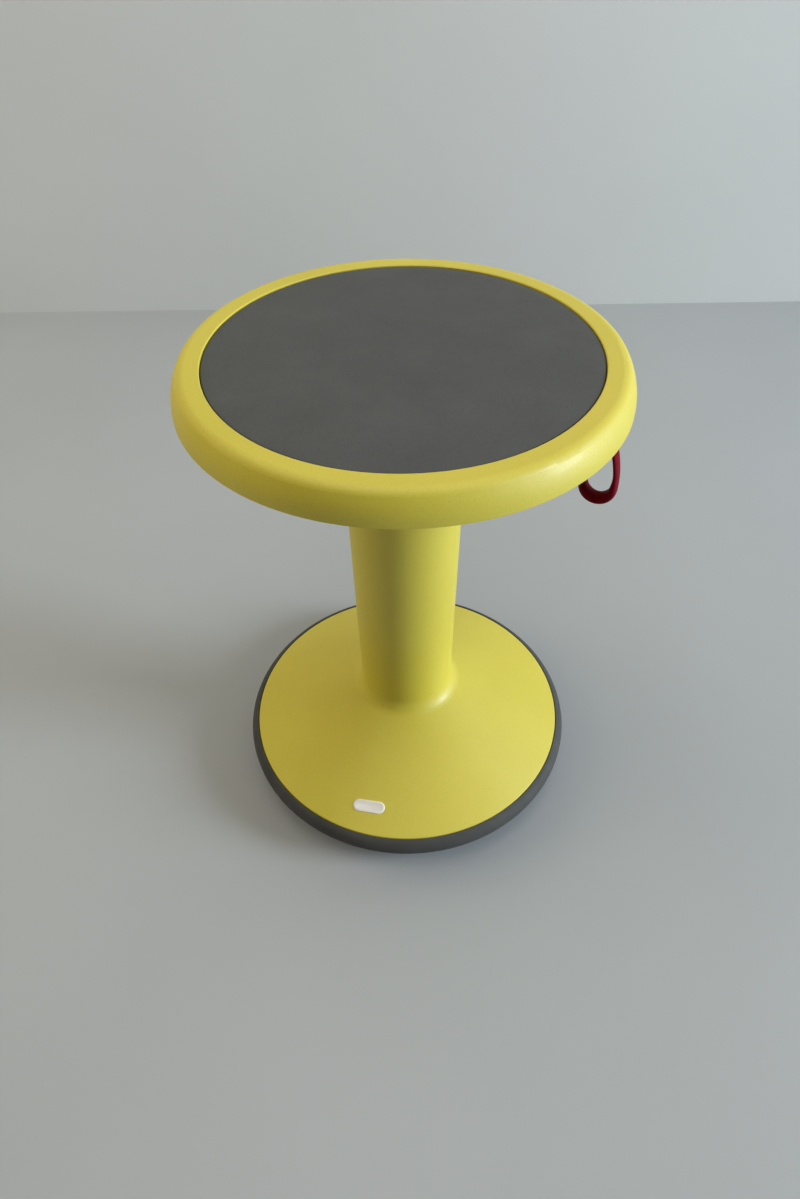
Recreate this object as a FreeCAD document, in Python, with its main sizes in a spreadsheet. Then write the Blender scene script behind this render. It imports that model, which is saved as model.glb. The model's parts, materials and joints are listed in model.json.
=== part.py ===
"""Wobble stool: height adjustable stool on a domed, weighted base.

Millimetres. +Z is up, the origin is the centre of the flat foot that rests on the floor, and
the release lever and its pull loop lie along +X. The seat is drawn at its lowest setting.
"""
import FreeCAD, Part
import math
import os
import Sketcher

# Driving dimensions in millimetres. Each one can be changed by itself.
SIZES = {
    # seat
    "seat_height": 450.0,
    "seat_radius": 163.7,
    "seat_wall": 3.0,
    "rim_side_run": 12.0,
    "rim_side_drop": 22.4,
    "rim_straight": 0.7,
    "rim_corner_radius": 8.0,
    "ring_width": 23.3,
    "recess_bevel": 0.6,
    "pad_thickness": 12.0,
    "pad_gap": 0.5,
    "pad_edge_round": 1.2,
    "pad_crown": 0.8,
    "pad_crown_run": 70.0,
    "seat_rib_clearance": 1.2,
    "seat_rib_thickness": 2.4,
    "seat_rib_start": 62.0,
    "seat_rib_toe_inset": 8.0,
    "seat_rib_toe_drop": 10.0,
    "boss_floor": 2.0,
    # steel plate and its fasteners
    "boss_height": 22.0,
    "boss_radius": 7.0,
    "plate_thickness": 3.0,
    "plate_half_width": 65.0,
    "plate_corner_cut": 18.2,
    "plate_flange_depth": 8.0,
    "plate_bolt_offset": 53.0,
    "plate_bolt_radius": 3.0,
    "plate_bolt_head": 5.1,
    "plate_bolt_head_height": 4.0,
    "hub_radius": 19.0,
    "hub_length": 35.0,
    "hub_gusset_reach": 33.0,
    "hub_gusset_toe": 6.0,
    "hub_gusset_depth": 6.0,
    "hub_gusset_thickness": 3.0,
    # under cover
    "cover_wall": 2.5,
    "cover_gap": 0.3,
    "cover_land_drop": 7.8,
    "cover_land_half_width": 8.0,
    "cover_rise": 0.5,
    "cover_step": 3.0,
    "cover_lip": 3.0,
    "cover_hub_radius": 43.0,
    "cover_hub_drop": 56.0,
    "cover_screw_inset": 28.7,
    "cover_screw_radius": 2.0,
    "cover_screw_head": 3.6,
    "cover_screw_head_height": 2.0,
    "cover_post_wall": 2.5,
    "slot_half_width": 13.0,
    "slot_start": 88.0,
    # gas column, inner side
    "tube_radius": 14.0,
    "tube_bore": 12.5,
    "tube_lip": 3.5,
    "tube_crimp": 2.0,
    "tube_head_lip": 3.0,
    "tube_taper": 0.9,
    "tube_foot": 52.0,
    "tube_above_plate": 4.0,
    "valve_length": 26.0,
    "valve_groove_low": 5.0,
    "valve_groove_width": 3.0,
    "valve_groove_depth": 2.0,
    "guide_length": 18.0,
    "guide_band": 5.0,
    "guide_relief": 1.5,
    "seal_length": 6.0,
    "seal_lip": 1.8,
    "seal_slope": 1.2,
    "seal_groove": 2.5,
    "lift_travel": 180.0,
    "lift_spare": 4.0,
    "rod_radius": 5.0,
    "rod_tail_radius": 4.0,
    "rod_tail_gap": 0.1,
    "rod_tail_length": 3.0,
    "rod_bevel": 0.5,
    "rod_thread_radius": 3.0,
    "rod_thread_end": 6.0,
    "piston_length": 13.0,
    "piston_gap": 0.3,
    "piston_bevel": 1.0,
    "piston_groove_low": 5.0,
    "piston_groove_width": 3.0,
    "piston_groove_depth": 2.5,
    "ring_play": 0.1,
    "ring_gap": 0.08,
    "port_circle": 7.0,
    "port_radius": 1.0,
    "nut_radius": 5.7,
    "nut_thickness": 4.5,
    "clip_drop": 0.2,
    "clip_thickness": 1.2,
    "clip_gap": 0.1,
    "clip_groove_depth": 1.0,
    "clip_reach": 4.0,
    "clip_bite": 0.4,
    # release
    "pin_radius": 4.0,
    "pin_reach": 8.0,
    "pin_length": 25.0,
    "pin_crown": 1.0,
    "pin_bevel": 0.6,
    "pin_room": 4.0,
    "press_gap": 0.3,
    "lever_width": 20.0,
    "lever_thickness": 4.0,
    "pivot_back": 34.0,
    "pivot_pin_radius": 2.5,
    "pin_head_margin": 1.3,
    "pin_head_height": 1.2,
    "pin_head_gap": 0.2,
    "pin_end": 1.6,
    "snap_width": 2.0,
    "snap_thickness": 1.0,
    "knuckle_radius": 5.5,
    "lever_bend": 70.0,
    "lever_neck": 8.0,
    "lever_bend_shift": 4.0,
    "eye_wall": 2.2,
    "eye_slope": 1.0,
    "window_start": 16.0,
    "window_end_inset": 6.0,
    "window_half_width": 5.0,
    "fork_depth": 17.0,
    "tine_thickness": 3.7,
    "ear_thickness": 3.0,
    "ear_gap": 0.5,
    "bracket_thickness": 2.0,
    "bracket_tail": 7.0,
    "rivet_spacing": 6.0,
    "rivet_radius": 2.5,
    "rivet_half_pitch": 5.0,
    "rivet_head_margin": 1.7,
    "rivet_head_height": 1.5,
    "rivet_tail_margin": 1.2,
    "rivet_tail_height": 1.0,
    "loop_inset": 12.2,
    "loop_pin_drop": 31.0,
    "loop_pin_radius": 2.5,
    "loop_width": 11.0,
    "loop_half_width": 13.6,
    "loop_length": 56.0,
    "loop_band": 3.7,
    "loop_heel": 7.6,
    # telescopic sleeve and column
    "sleeve_radius": 38.0,
    "sleeve_wall": 2.5,
    "sleeve_gap": 0.3,
    "sleeve_spare": 5.0,
    "sleeve_flange": 2.0,
    "sleeve_flange_inset": 1.0,
    "column_top_gap": 8.0,
    "column_taper": 4.2,
    "column_wall": 3.5,
    "collar_length": 39.0,
    "collar_flange": 2.0,
    "collar_bevel": 1.0,
    "collar_wall": 2.0,
    "fin_depth": 4.1,
    "fin_thickness": 2.0,
    "fin_lead": 3.0,
    "fin_lead_in": 0.8,
    "foot_blend_radius": 15.5,
    "foot_height": 97.7,
    # base
    "base_radius": 154.5,
    "base_edge_height": 45.0,
    "base_edge_drop": 3.0,
    "base_edge_round": 1.0,
    "base_wall": 3.5,
    "base_rib_thickness": 2.4,
    "base_rib_gap": 14.0,
    "base_rib_depth": 12.0,
    "base_rib_knee": 8.0,
    "base_rib_clearance": 10.0,
    "plain_rib_depth": 6.0,
    "lip_depth": 8.0,
    "lip_wall": 3.2,
    "rim_overhang": 8.0,
    "rim_step": 0.7,
    "rim_top_rise": 0.2,
    "rim_fit": 0.15,
    "rim_mid_height": 35.0,
    "rim_foot_inset": 12.5,
    "rim_wall": 6.0,
    "rocker_radius": 500.0,
    "rocker_wall": 8.0,
    "flat_radius": 50.0,
    "foot_thickness": 6.0,
    "foot_proud": 0.6,
    "foot_screw_inset": 11.0,
    "foot_screw_radius": 2.0,
    "foot_screw_reach": 2.8,
    "foot_screw_head": 3.8,
    "foot_screw_head_height": 2.5,
    "web_thickness": 4.0,
    "web_run": 10.0,
    "base_screw_inset": 18.0,
    "base_screw_radius": 2.4,
    "base_screw_head": 4.8,
    "base_screw_head_height": 3.0,
    "base_screw_grip": 20.0,
    "head_clearance": 0.4,
    "base_boss_radius": 5.5,
    "screw_pad_margin": 2.0,
    "screw_pad_rise": 0.2,
    "screw_land": 4.5,
    "ballast_inset": 14.0,
    "ballast_ledge": 9.0,
    "ballast_gap": 1.0,
    "ballast_ring_inside": 3.0,
    "ballast_ring_outside": 5.0,
    "ballast_height": 24.0,
    "ballast_thickness": 6.0,
    "socket_radius": 31.0,
    "socket_length": 54.0,
    "socket_flange": 6.0,
    "socket_flange_radius": 46.0,
    "socket_draft": 1.0,
    "socket_gusset_toe": 2.0,
    "socket_gusset_drop": 12.0,
    "socket_gusset_thickness": 6.0,
    "socket_bolt_circle": 38.5,
    "socket_bolt_radius": 3.0,
    "socket_bolt_head": 5.1,
    "socket_bolt_head_height": 4.0,
    # gas column, outer side and its bearing
    "stand_radius": 25.0,
    "stand_bore": 23.5,
    "stand_taper": 0.5,
    "stand_top": 300.0,
    "stand_rise": 2.0,
    "stand_step": 1.0,
    "bush_length": 85.0,
    "bush_flange": 2.0,
    "bush_band": 21.0,
    "bush_bevel": 1.5,
    "bush_relief": 2.5,
    "bush_mouth": 1.0,
    "disc_height": 34.0,
    "disc_thickness": 4.0,
    "race_radius": 12.0,
    "race_thickness": 2.5,
    "race_spacing": 2.6,
    "ball_radius": 2.0,
    "ball_circle": 8.5,
    "ball_gap": 0.2,
    "cage_thickness": 1.2,
    "cage_land": 1.0,
    "buffer_radius": 12.5,
    "buffer_bevel": 1.5,
    # fits and bevels, how deep ribs and bosses root in a wall, how far a cut runs past it
    "running_gap": 0.05,
    "free_gap": 0.3,
    "tip_gap": 1.0,
    "bevel": 0.8,
    "root": 1.0,
    "cut_past": 1.0,
}

# How many copies of each repeated feature.
SEAT_RIBS = 12
COVER_SCREWS = 6
PLATE_BOLTS = 4
BASE_SCREWS = 6
SOCKET_BOLTS = 4
FOOT_SCREWS = 3
COLLAR_RIBS = 16
BALLS = 8
HUB_GUSSETS = 4
PLATE_EDGES = 4
PISTON_PORTS = 3
NUT_SIDES = 6

# Where the first copy of a ring stands, in degrees from +X.
SCREW_ANGLE = 30
BOLT_ANGLE = 45
FOOT_SCREW_ANGLE = 90
SEAT_RIB_ANGLE = 15

FULL_TURN = 360.0
MATCH = 0.02

doc = FreeCAD.newDocument("wobble_stool")
sheet = doc.addObject("Spreadsheet::Sheet", "Sizes")
for row, (alias, number) in enumerate(SIZES.items(), start=1):
    sheet.set("A%d" % row, alias)
    sheet.set("B%d" % row, str(number))
    sheet.setAlias("B%d" % row, alias)
doc.recompute()


class Size:
    """A number together with the spreadsheet expression that gives it."""

    def __init__(self, value, text):
        self.value = float(value)
        self.text = text

    def join(self, sign, other, value):
        return Size(value, "(%s %s %s)" % (self.text, sign, other.text))

    def __add__(self, other):
        other = as_size(other)
        return self.join("+", other, self.value + other.value)

    def __sub__(self, other):
        other = as_size(other)
        return self.join("-", other, self.value - other.value)

    def __mul__(self, other):
        other = as_size(other)
        return self.join("*", other, self.value * other.value)

    def __truediv__(self, other):
        other = as_size(other)
        return self.join("/", other, self.value / other.value)

    def __radd__(self, other):
        return as_size(other) + self

    def __rsub__(self, other):
        return as_size(other) - self

    def __rmul__(self, other):
        return as_size(other) * self

    def __neg__(self):
        return Size(-self.value, "(0 - %s)" % self.text)


def as_size(number):
    """A plain number as a Size without a cell behind it."""
    if isinstance(number, Size):
        return number
    return Size(number, "%.9f" % number)


def root(size):
    """Square root of a Size."""
    return Size(math.sqrt(size.value), "sqrt(%s)" % size.text)


class Sheet:
    """Reads each named cell as a Size."""

    def __getattr__(self, alias):
        return Size(SIZES[alias], "Sizes." + alias)


S = Sheet()


def origin_feature(body, role):
    """An origin plane or axis of a body."""
    for feature in body.Origin.OriginFeatures:
        if feature.Role == role:
            return feature
    raise ValueError(role)


def new_body(name):
    """An empty body whose label names its file."""
    body = doc.addObject("PartDesign::Body", name)
    body.Label = name
    return body


def new_sketch(body, name, plane, lift=0.0, turn=0.0):
    """A sketch on an origin plane, lifted along the plane's normal.

    turn is in degrees about Z, for a sketch on the XZ plane.
    """
    sketch = body.newObject("Sketcher::SketchObject", name)
    sketch.AttachmentSupport = [(origin_feature(body, plane), "")]
    sketch.MapMode = "FlatFace"
    lift = as_size(lift)
    rotation = FreeCAD.Rotation(FreeCAD.Vector(0, 1, 0), turn)
    sketch.AttachmentOffset = FreeCAD.Placement(FreeCAD.Vector(0, 0, lift.value), rotation)
    if lift.value:
        sketch.setExpression("AttachmentOffset.Base.z", lift.text)
    return sketch


def hold(sketch, kind, geometry, size):
    """Adds a constraint whose value follows a Size."""
    size = as_size(size)
    index = sketch.addConstraint(Sketcher.Constraint(kind, *geometry, size.value))
    if "Sizes." in size.text:
        sketch.setExpression("Constraints[%d]" % index, size.text)


def hold_point(sketch, element, end, point):
    """Ties one end of an element to its distances from the origin."""
    hold(sketch, "DistanceX", (-1, 1, element, end), point[0])
    hold(sketch, "DistanceY", (-1, 1, element, end), point[1])


def arc_between(start, end, radius):
    """The arc of under half a circle from start to end, and whether it is drawn backwards.

    A positive radius turns left on the way, a negative one turns right.
    """
    chord = end - start
    half = chord.Length / 2
    rise = math.sqrt(max(radius * radius - half * half, 0.0))
    left = FreeCAD.Vector(-chord.y, chord.x, 0).normalize()
    centre = (start + end) / 2 + left * math.copysign(rise, radius)
    first, last = (start, end) if radius > 0 else (end, start)
    angle_first = math.atan2(first.y - centre.y, first.x - centre.x)
    angle_last = math.atan2(last.y - centre.y, last.x - centre.x)
    if angle_last < angle_first:
        angle_last += 2 * math.pi
    circle = Part.Circle(centre, FreeCAD.Vector(0, 0, 1), abs(radius))
    return Part.ArcOfCircle(circle, angle_first, angle_last), radius < 0


def add_outline(sketch, corners):
    """A closed outline. A corner is (x, y), or (x, y, radius) where its next side is an arc."""
    points = [(as_size(corner[0]), as_size(corner[1])) for corner in corners]
    spots = [FreeCAD.Vector(x.value, y.value, 0) for x, y in points]
    first = sketch.GeometryCount
    count = len(corners)
    starts = []
    for index, corner in enumerate(corners):
        spot = spots[index]
        following = spots[(index + 1) % count]
        if len(corner) == 3:
            side, backwards = arc_between(spot, following, as_size(corner[2]).value)
        else:
            side, backwards = Part.LineSegment(spot, following), False
        sketch.addGeometry(side, False)
        starts.append((2, 1) if backwards else (1, 2))
    for index, corner in enumerate(corners):
        element = first + index
        before = first + (index - 1) % count
        start = starts[index][0]
        end_before = starts[(index - 1) % count][1]
        sketch.addConstraint(Sketcher.Constraint("Coincident", before, end_before, element, start))
        hold_point(sketch, element, start, points[index])
        if len(corner) == 3:
            radius = as_size(corner[2])
            if radius.value < 0:
                radius = -radius
            hold(sketch, "Radius", (element,), radius)


def add_circle(sketch, x, y, radius):
    """A circle held by its centre and radius."""
    x, y, radius = as_size(x), as_size(y), as_size(radius)
    circle = Part.Circle(FreeCAD.Vector(x.value, y.value, 0), FreeCAD.Vector(0, 0, 1), radius.value)
    element = sketch.addGeometry(circle, False)
    hold_point(sketch, element, 3, (x, y))
    hold(sketch, "Radius", (element,), radius)


def around(radius, degrees):
    """The point at an angle on a circle about the axis."""
    angle = math.radians(degrees)
    return radius * round(math.cos(angle), 9), radius * round(math.sin(angle), 9)


def box_corners(x_low, y_low, x_high, y_high):
    """The corners of an upright rectangle."""
    return [(x_low, y_low), (x_high, y_low), (x_high, y_high), (x_low, y_high)]


def spin(body, name, corners, cut=False):
    """Revolves an outline in the XZ plane about the stool's axis."""
    sketch = new_sketch(body, name + "_sketch", "XZ_Plane")
    add_outline(sketch, corners)
    feature = body.newObject("PartDesign::Groove" if cut else "PartDesign::Revolution", name)
    feature.Profile = sketch
    feature.ReferenceAxis = (sketch, ["V_Axis"])
    feature.Angle = FULL_TURN
    return feature


def raise_sketch(body, name, sketch, height, cut=False):
    """Pads or pockets a level sketch upwards by a height."""
    height = as_size(height)
    feature = body.newObject("PartDesign::Pocket" if cut else "PartDesign::Pad", name)
    feature.Profile = sketch
    feature.Reversed = cut
    feature.Length = height.value
    feature.setExpression("Length", height.text)
    return feature


def rod_up(body, name, spot, radius, low, high, cut=False):
    """A round pad or hole between two heights."""
    sketch = new_sketch(body, name + "_sketch", "XY_Plane", low)
    add_circle(sketch, spot[0], spot[1], radius)
    return raise_sketch(body, name, sketch, as_size(high) - low, cut)


def slab_up(body, name, corners, low, high, cut=False):
    """A pad or pocket of an outline between two heights."""
    sketch = new_sketch(body, name + "_sketch", "XY_Plane", low)
    add_outline(sketch, corners)
    return raise_sketch(body, name, sketch, as_size(high) - low, cut)


def across(body, name, sketch, width, cut=False):
    """Pads or pockets an upright sketch evenly to both sides."""
    width = as_size(width)
    feature = body.newObject("PartDesign::Pocket" if cut else "PartDesign::Pad", name)
    feature.Profile = sketch
    feature.SideType = "Symmetric"
    feature.Length = width.value
    feature.setExpression("Length", width.text)
    return feature


def web(body, name, corners, width, turn=0.0, cut=False):
    """A rib, bar or slot: an upright outline given an even width."""
    sketch = new_sketch(body, name + "_sketch", "XZ_Plane", turn=turn)
    add_outline(sketch, corners)
    return across(body, name, sketch, width, cut)


def cross_rod(body, name, x, z, radius, width, cut=False):
    """A round pad or hole that runs along Y."""
    sketch = new_sketch(body, name + "_sketch", "XZ_Plane")
    add_circle(sketch, x, z, radius)
    return across(body, name, sketch, width, cut)


def rod_between(body, name, x, z, radius, low, high):
    """A round pad along Y between two places."""
    low, high = as_size(low), as_size(high)
    sketch = new_sketch(body, name + "_sketch", "XZ_Plane", (low + high) / -2)
    add_circle(sketch, x, z, radius)
    return across(body, name, sketch, high - low)


def ring_of(body, name, features, count):
    """Repeats features around the stool's axis."""
    pattern = body.newObject("PartDesign::PolarPattern", name)
    pattern.Originals = features
    pattern.Axis = (origin_feature(body, "Z_Axis"), [""])
    pattern.Angle = FULL_TURN
    pattern.Occurrences = count
    body.Tip = pattern
    return pattern


def soften(body, name, circles, size, kind="Fillet"):
    """Rounds or bevels the circular edges found at (radius, height)."""
    doc.recompute()
    base = body.Tip
    edges = []
    for index, edge in enumerate(base.Shape.Edges, start=1):
        if edge.Degenerated:
            continue
        curve = edge.Curve
        if not isinstance(curve, Part.Circle):
            continue
        if math.hypot(curve.Center.x, curve.Center.y) > MATCH:
            continue
        for radius, height in circles:
            near = abs(curve.Radius - as_size(radius).value) < MATCH
            if near and abs(curve.Center.z - as_size(height).value) < MATCH:
                edges.append("Edge%d" % index)
    if len(edges) != len(circles):
        raise ValueError("%s found %d of %d edges" % (name, len(edges), len(circles)))
    feature = body.newObject("PartDesign::" + kind, name)
    feature.Base = (base, edges)
    size = as_size(size)
    amount = "Radius" if kind == "Fillet" else "Size"
    setattr(feature, amount, size.value)
    if "Sizes." in size.text:
        feature.setExpression(amount, size.text)
    return feature


def screws(name, circle, count, first_angle, steps):
    """A ring of fasteners. Each step of a fastener is (radius, low, high)."""
    body = new_body(name)
    spot = around(circle, first_angle)
    pads = []
    for index, (radius, low, high) in enumerate(steps):
        pads.append(rod_up(body, "%s_step_%d" % (name, index), spot, radius, low, high))
    ring_of(body, name + "_ring", pads, count)
    return body


# Radii and reaches that follow the sizes of the seat, the sleeve and the base.
rim_land_radius = S.seat_radius - S.rim_side_run
pad_radius = S.seat_radius - S.ring_width
cover_screw_circle = S.seat_radius - S.cover_screw_inset
loop_reach = S.seat_radius - S.loop_inset
fork_root = loop_reach - S.fork_depth
collar_bore = S.sleeve_radius + S.sleeve_gap
column_top_radius = collar_bore + S.collar_wall + S.fin_depth + S.free_gap + S.column_wall
foot_radius = column_top_radius - S.column_taper
rim_radius = S.base_radius + S.rim_overhang
rim_foot_radius = rim_radius - S.rim_foot_inset
pan_inner = rim_foot_radius - S.rim_wall
ballast_radius = pan_inner - S.ballast_inset
base_screw_circle = ballast_radius - S.base_screw_inset

# Heights on the seat side, from the seat down.
seat_top = S.seat_height
pad_bottom = seat_top - S.pad_thickness
floor_bottom = pad_bottom - S.seat_wall
plate_top = floor_bottom - S.boss_height
plate_bottom = plate_top - S.plate_thickness
tube_top = plate_top + S.tube_above_plate
hub_bottom = plate_top - S.hub_length
pin_top = tube_top + S.pin_reach
lever_bottom = pin_top + S.press_gap
lever_top = lever_bottom + S.lever_thickness
rib_bottom = lever_top + S.seat_rib_clearance
pivot_height = lever_top - S.knuckle_radius
loop_pin_height = seat_top - S.loop_pin_drop
rim_side_low = seat_top - S.rim_side_drop
rim_bottom = rim_side_low - S.rim_straight
cover_hub_height = seat_top - S.cover_hub_drop
cover_land = rim_bottom - S.cover_land_drop
column_top = cover_hub_height - S.column_top_gap - S.collar_flange

# Heights on the base side, from the floor up.
web_top = S.foot_thickness + S.web_thickness
ballast_top = S.ballast_height + S.ballast_thickness
socket_top = ballast_top + S.socket_length
socket_flange_top = ballast_top + S.socket_flange
disc_top = S.disc_height + S.disc_thickness
clip_groove_high = S.disc_height - S.clip_drop
clip_high = clip_groove_high - S.clip_gap
clip_low = clip_high - S.clip_thickness
clip_groove_low = clip_low - S.clip_gap
race_top = disc_top + S.race_thickness
ball_height = race_top + S.race_spacing / 2
upper_race_bottom = race_top + S.race_spacing
rod_shoulder = upper_race_bottom + S.race_thickness
guide_low = S.tube_foot + S.tube_crimp
seal_low = guide_low + S.guide_length
seal_top = seal_low + S.seal_length
piston_low = seal_top + S.lift_travel + S.lift_spare
piston_top = piston_low + S.piston_length
collar_low = column_top - S.collar_length
sleeve_low = collar_low - S.lift_travel - S.sleeve_spare
sleeve_bore = S.sleeve_radius - S.sleeve_wall
pivot_x = -S.pivot_back


def hub_taper(height):
    """How far the pressure tube has narrowed at a height inside the plate's hub."""
    return S.tube_taper * (height - hub_bottom) / (tube_top - hub_bottom)


def column_radius(height):
    """Outer radius of the tapered column."""
    share = (height - S.foot_height) / (column_top - S.foot_height)
    return foot_radius + (column_top_radius - foot_radius) * share


def cone_height(radius):
    """Height of the base cone's outer face."""
    share = (S.base_radius - radius) / (S.base_radius - foot_radius)
    return S.base_edge_height + (S.foot_height - S.base_edge_height) * share


def cone_inside(radius):
    """Height of the base cone's inner face, one wall away square to the slope."""
    run = S.base_radius - foot_radius
    fall = S.foot_height - S.base_edge_height
    return cone_height(radius) - S.base_wall * root(run * run + fall * fall) / run


def dome_height(radius):
    """Height of the rocking dome above the floor, lowest where the flat foot begins."""
    ball = S.rocker_radius * S.rocker_radius
    flat = root(ball - S.flat_radius * S.flat_radius)
    return S.foot_proud + flat - root(ball - radius * radius)


# Fasteners and pins, placed from the pieces that they hold.
screw_pad_radius = S.base_boss_radius + S.screw_pad_margin
screw_pad_floor = dome_height(base_screw_circle + screw_pad_radius) + S.rocker_wall
base_boss_low = screw_pad_floor + S.screw_pad_rise
screw_seat = base_boss_low - S.screw_land
foot_screw_circle = S.socket_radius - S.foot_screw_inset
foot_screw_low = S.foot_thickness - S.foot_screw_reach
rivet_x = pivot_x - S.knuckle_radius - S.rivet_spacing
rivet_spots = [(rivet_x, -S.rivet_half_pitch), (rivet_x, S.rivet_half_pitch)]
ear_outer = S.lever_width / 2 + S.ear_gap + S.ear_thickness
pivot_head = ear_outer + S.pin_head_gap
pivot_end = ear_outer + S.pin_end
eye_radius = S.loop_pin_radius + S.eye_wall
loop_pin_half = S.lever_width / 2 + S.pin_head_gap
cover_post_low = cover_land + S.cover_wall
boss_hole_top = floor_bottom - S.boss_floor
boss_screw_top = boss_hole_top - S.tip_gap


def make_base_shell():
    """Cone and column moulded in one piece, with a locating lip, ribs and screw bosses."""
    body = new_body("base_shell")
    lip_outer = pan_inner - S.free_gap
    lip_inner = lip_outer - S.lip_wall
    edge_low = S.base_edge_height - S.base_edge_drop
    inner_foot = foot_radius - S.column_wall
    spin(body, "shell_wall", [
        (S.base_radius, edge_low),
        (S.base_radius, S.base_edge_height),
        (foot_radius, S.foot_height),
        (column_top_radius, column_top),
        (column_top_radius - S.column_wall, column_top),
        (inner_foot, cone_inside(inner_foot)),
        (lip_inner, cone_inside(lip_inner)),
        (lip_inner, edge_low - S.lip_depth),
        (lip_outer, edge_low - S.lip_depth),
        (lip_outer, edge_low),
    ])
    soften(body, "foot_blend", [(foot_radius, S.foot_height)], S.foot_blend_radius)
    soften(body, "inner_blend", [(inner_foot, cone_inside(inner_foot))], S.foot_blend_radius)
    soften(body, "edge_round", [(S.base_radius, S.base_edge_height)], S.base_edge_round)
    rib_inner = S.socket_flange_radius + S.base_rib_gap
    rib_outer = lip_inner + S.root
    knee = base_screw_circle - S.base_rib_knee
    knee_height = ballast_top + S.base_rib_clearance
    rib = web(body, "screw_rib", [
        (rib_inner, cone_inside(rib_inner) + S.root),
        (rib_inner, cone_inside(rib_inner) - S.base_rib_depth),
        (knee, knee_height),
        (rib_outer, knee_height),
        (rib_outer, cone_inside(rib_outer) + S.root),
    ], S.base_rib_thickness, turn=SCREW_ANGLE)
    plain_rib = web(body, "plain_rib", [
        (rib_inner, cone_inside(rib_inner) + S.root),
        (rib_inner, cone_inside(rib_inner) - S.base_rib_depth),
        (rib_outer, cone_inside(rib_outer) - S.plain_rib_depth),
        (rib_outer, cone_inside(rib_outer) + S.root),
    ], S.base_rib_thickness)
    boss_inner = base_screw_circle - S.base_boss_radius - S.cut_past
    boss_outer = base_screw_circle + S.base_boss_radius + S.cut_past
    boss_top = cone_height(boss_inner)
    spot = around(base_screw_circle, SCREW_ANGLE)
    boss = rod_up(body, "boss", spot, S.base_boss_radius, base_boss_low, boss_top)
    ring_of(body, "ribs_and_bosses", [rib, plain_rib, boss], BASE_SCREWS)
    spin(body, "boss_trim", [
        (boss_inner, cone_height(boss_inner)),
        (boss_outer, cone_height(boss_outer)),
        (boss_outer, boss_top + S.cut_past),
        (boss_inner, boss_top + S.cut_past),
    ], cut=True)
    hole_radius = S.base_screw_radius + S.running_gap
    hole_top = base_boss_low + S.base_screw_grip + S.tip_gap
    hole = rod_up(body, "boss_hole", spot, hole_radius, base_boss_low, hole_top, cut=True)
    ring_of(body, "boss_holes", [hole], BASE_SCREWS)
    return body


def make_rocker_pan():
    """Rubber-like bottom: rounded rim, domed underside, seats for shell, ballast and foot."""
    body = new_body("rocker_pan")
    top_radius = S.base_radius + S.rim_step
    top_height = S.base_edge_height + S.rim_top_rise
    foot_z = dome_height(rim_foot_radius)
    edge_low = S.base_edge_height - S.base_edge_drop
    out_low = rim_radius - rim_foot_radius
    rise_low = S.rim_mid_height - foot_z
    out_high = rim_radius - top_radius
    rise_high = top_height - S.rim_mid_height
    low_radius = (out_low * out_low + rise_low * rise_low) / (out_low * 2)
    high_radius = (out_high * out_high + rise_high * rise_high) / (out_high * 2)
    ledge_inner = ballast_radius - S.ballast_ledge
    ledge_outer = ballast_radius + S.ballast_gap
    ring_inner = S.socket_radius - S.ballast_ring_inside
    ring_outer = S.socket_radius + S.ballast_ring_outside
    spin(body, "pan_wall", [
        (0, S.foot_thickness),
        (S.flat_radius, S.foot_thickness),
        (S.flat_radius, S.foot_proud, S.rocker_radius),
        (rim_foot_radius, foot_z, low_radius),
        (rim_radius, S.rim_mid_height, high_radius),
        (top_radius, top_height),
        (S.base_radius + S.rim_fit, edge_low),
        (pan_inner, edge_low),
        (pan_inner, dome_height(pan_inner) + S.rocker_wall),
        (ledge_outer, dome_height(ledge_outer) + S.rocker_wall),
        (ledge_outer, S.ballast_height),
        (ledge_inner, S.ballast_height),
        (ledge_inner, dome_height(ledge_inner) + S.rocker_wall),
        (S.flat_radius + S.web_run, web_top),
        (ring_outer, web_top),
        (ring_outer, S.ballast_height),
        (ring_inner, S.ballast_height),
        (ring_inner, web_top),
        (0, web_top),
    ])
    spot = around(base_screw_circle, SCREW_ANGLE)
    pad_low = dome_height(base_screw_circle) + S.rocker_wall / 2
    pad = rod_up(body, "screw_pad", spot, screw_pad_radius, pad_low, base_boss_low)
    ring_of(body, "screw_pads", [pad], BASE_SCREWS)
    well_radius = S.base_screw_head + S.head_clearance
    well = rod_up(body, "screw_well", spot, well_radius, 0, screw_seat, cut=True)
    hole_radius = S.base_screw_radius + S.running_gap
    hole = rod_up(body, "screw_hole", spot, hole_radius, screw_seat, base_boss_low, cut=True)
    ring_of(body, "screw_holes", [well, hole], BASE_SCREWS)
    foot_spot = around(foot_screw_circle, FOOT_SCREW_ANGLE)
    foot_hole = rod_up(body, "foot_hole", foot_spot, S.foot_screw_radius + S.free_gap,
                       S.foot_thickness, web_top, cut=True)
    ring_of(body, "foot_holes", [foot_hole], FOOT_SCREWS)
    return body


def make_centre_foot():
    """The flat round foot, held from inside by three screws."""
    body = new_body("centre_foot")
    edge = S.flat_radius - S.free_gap
    spin(body, "foot_disc", [
        (0, 0),
        (edge - S.bevel, 0),
        (edge, S.bevel),
        (edge, S.foot_thickness),
        (0, S.foot_thickness),
    ])
    spot = around(foot_screw_circle, FOOT_SCREW_ANGLE)
    hole = rod_up(body, "foot_hole", spot, S.foot_screw_radius + S.running_gap,
                  foot_screw_low - S.tip_gap, S.foot_thickness, cut=True)
    ring_of(body, "foot_holes", [hole], FOOT_SCREWS)
    return body


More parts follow.
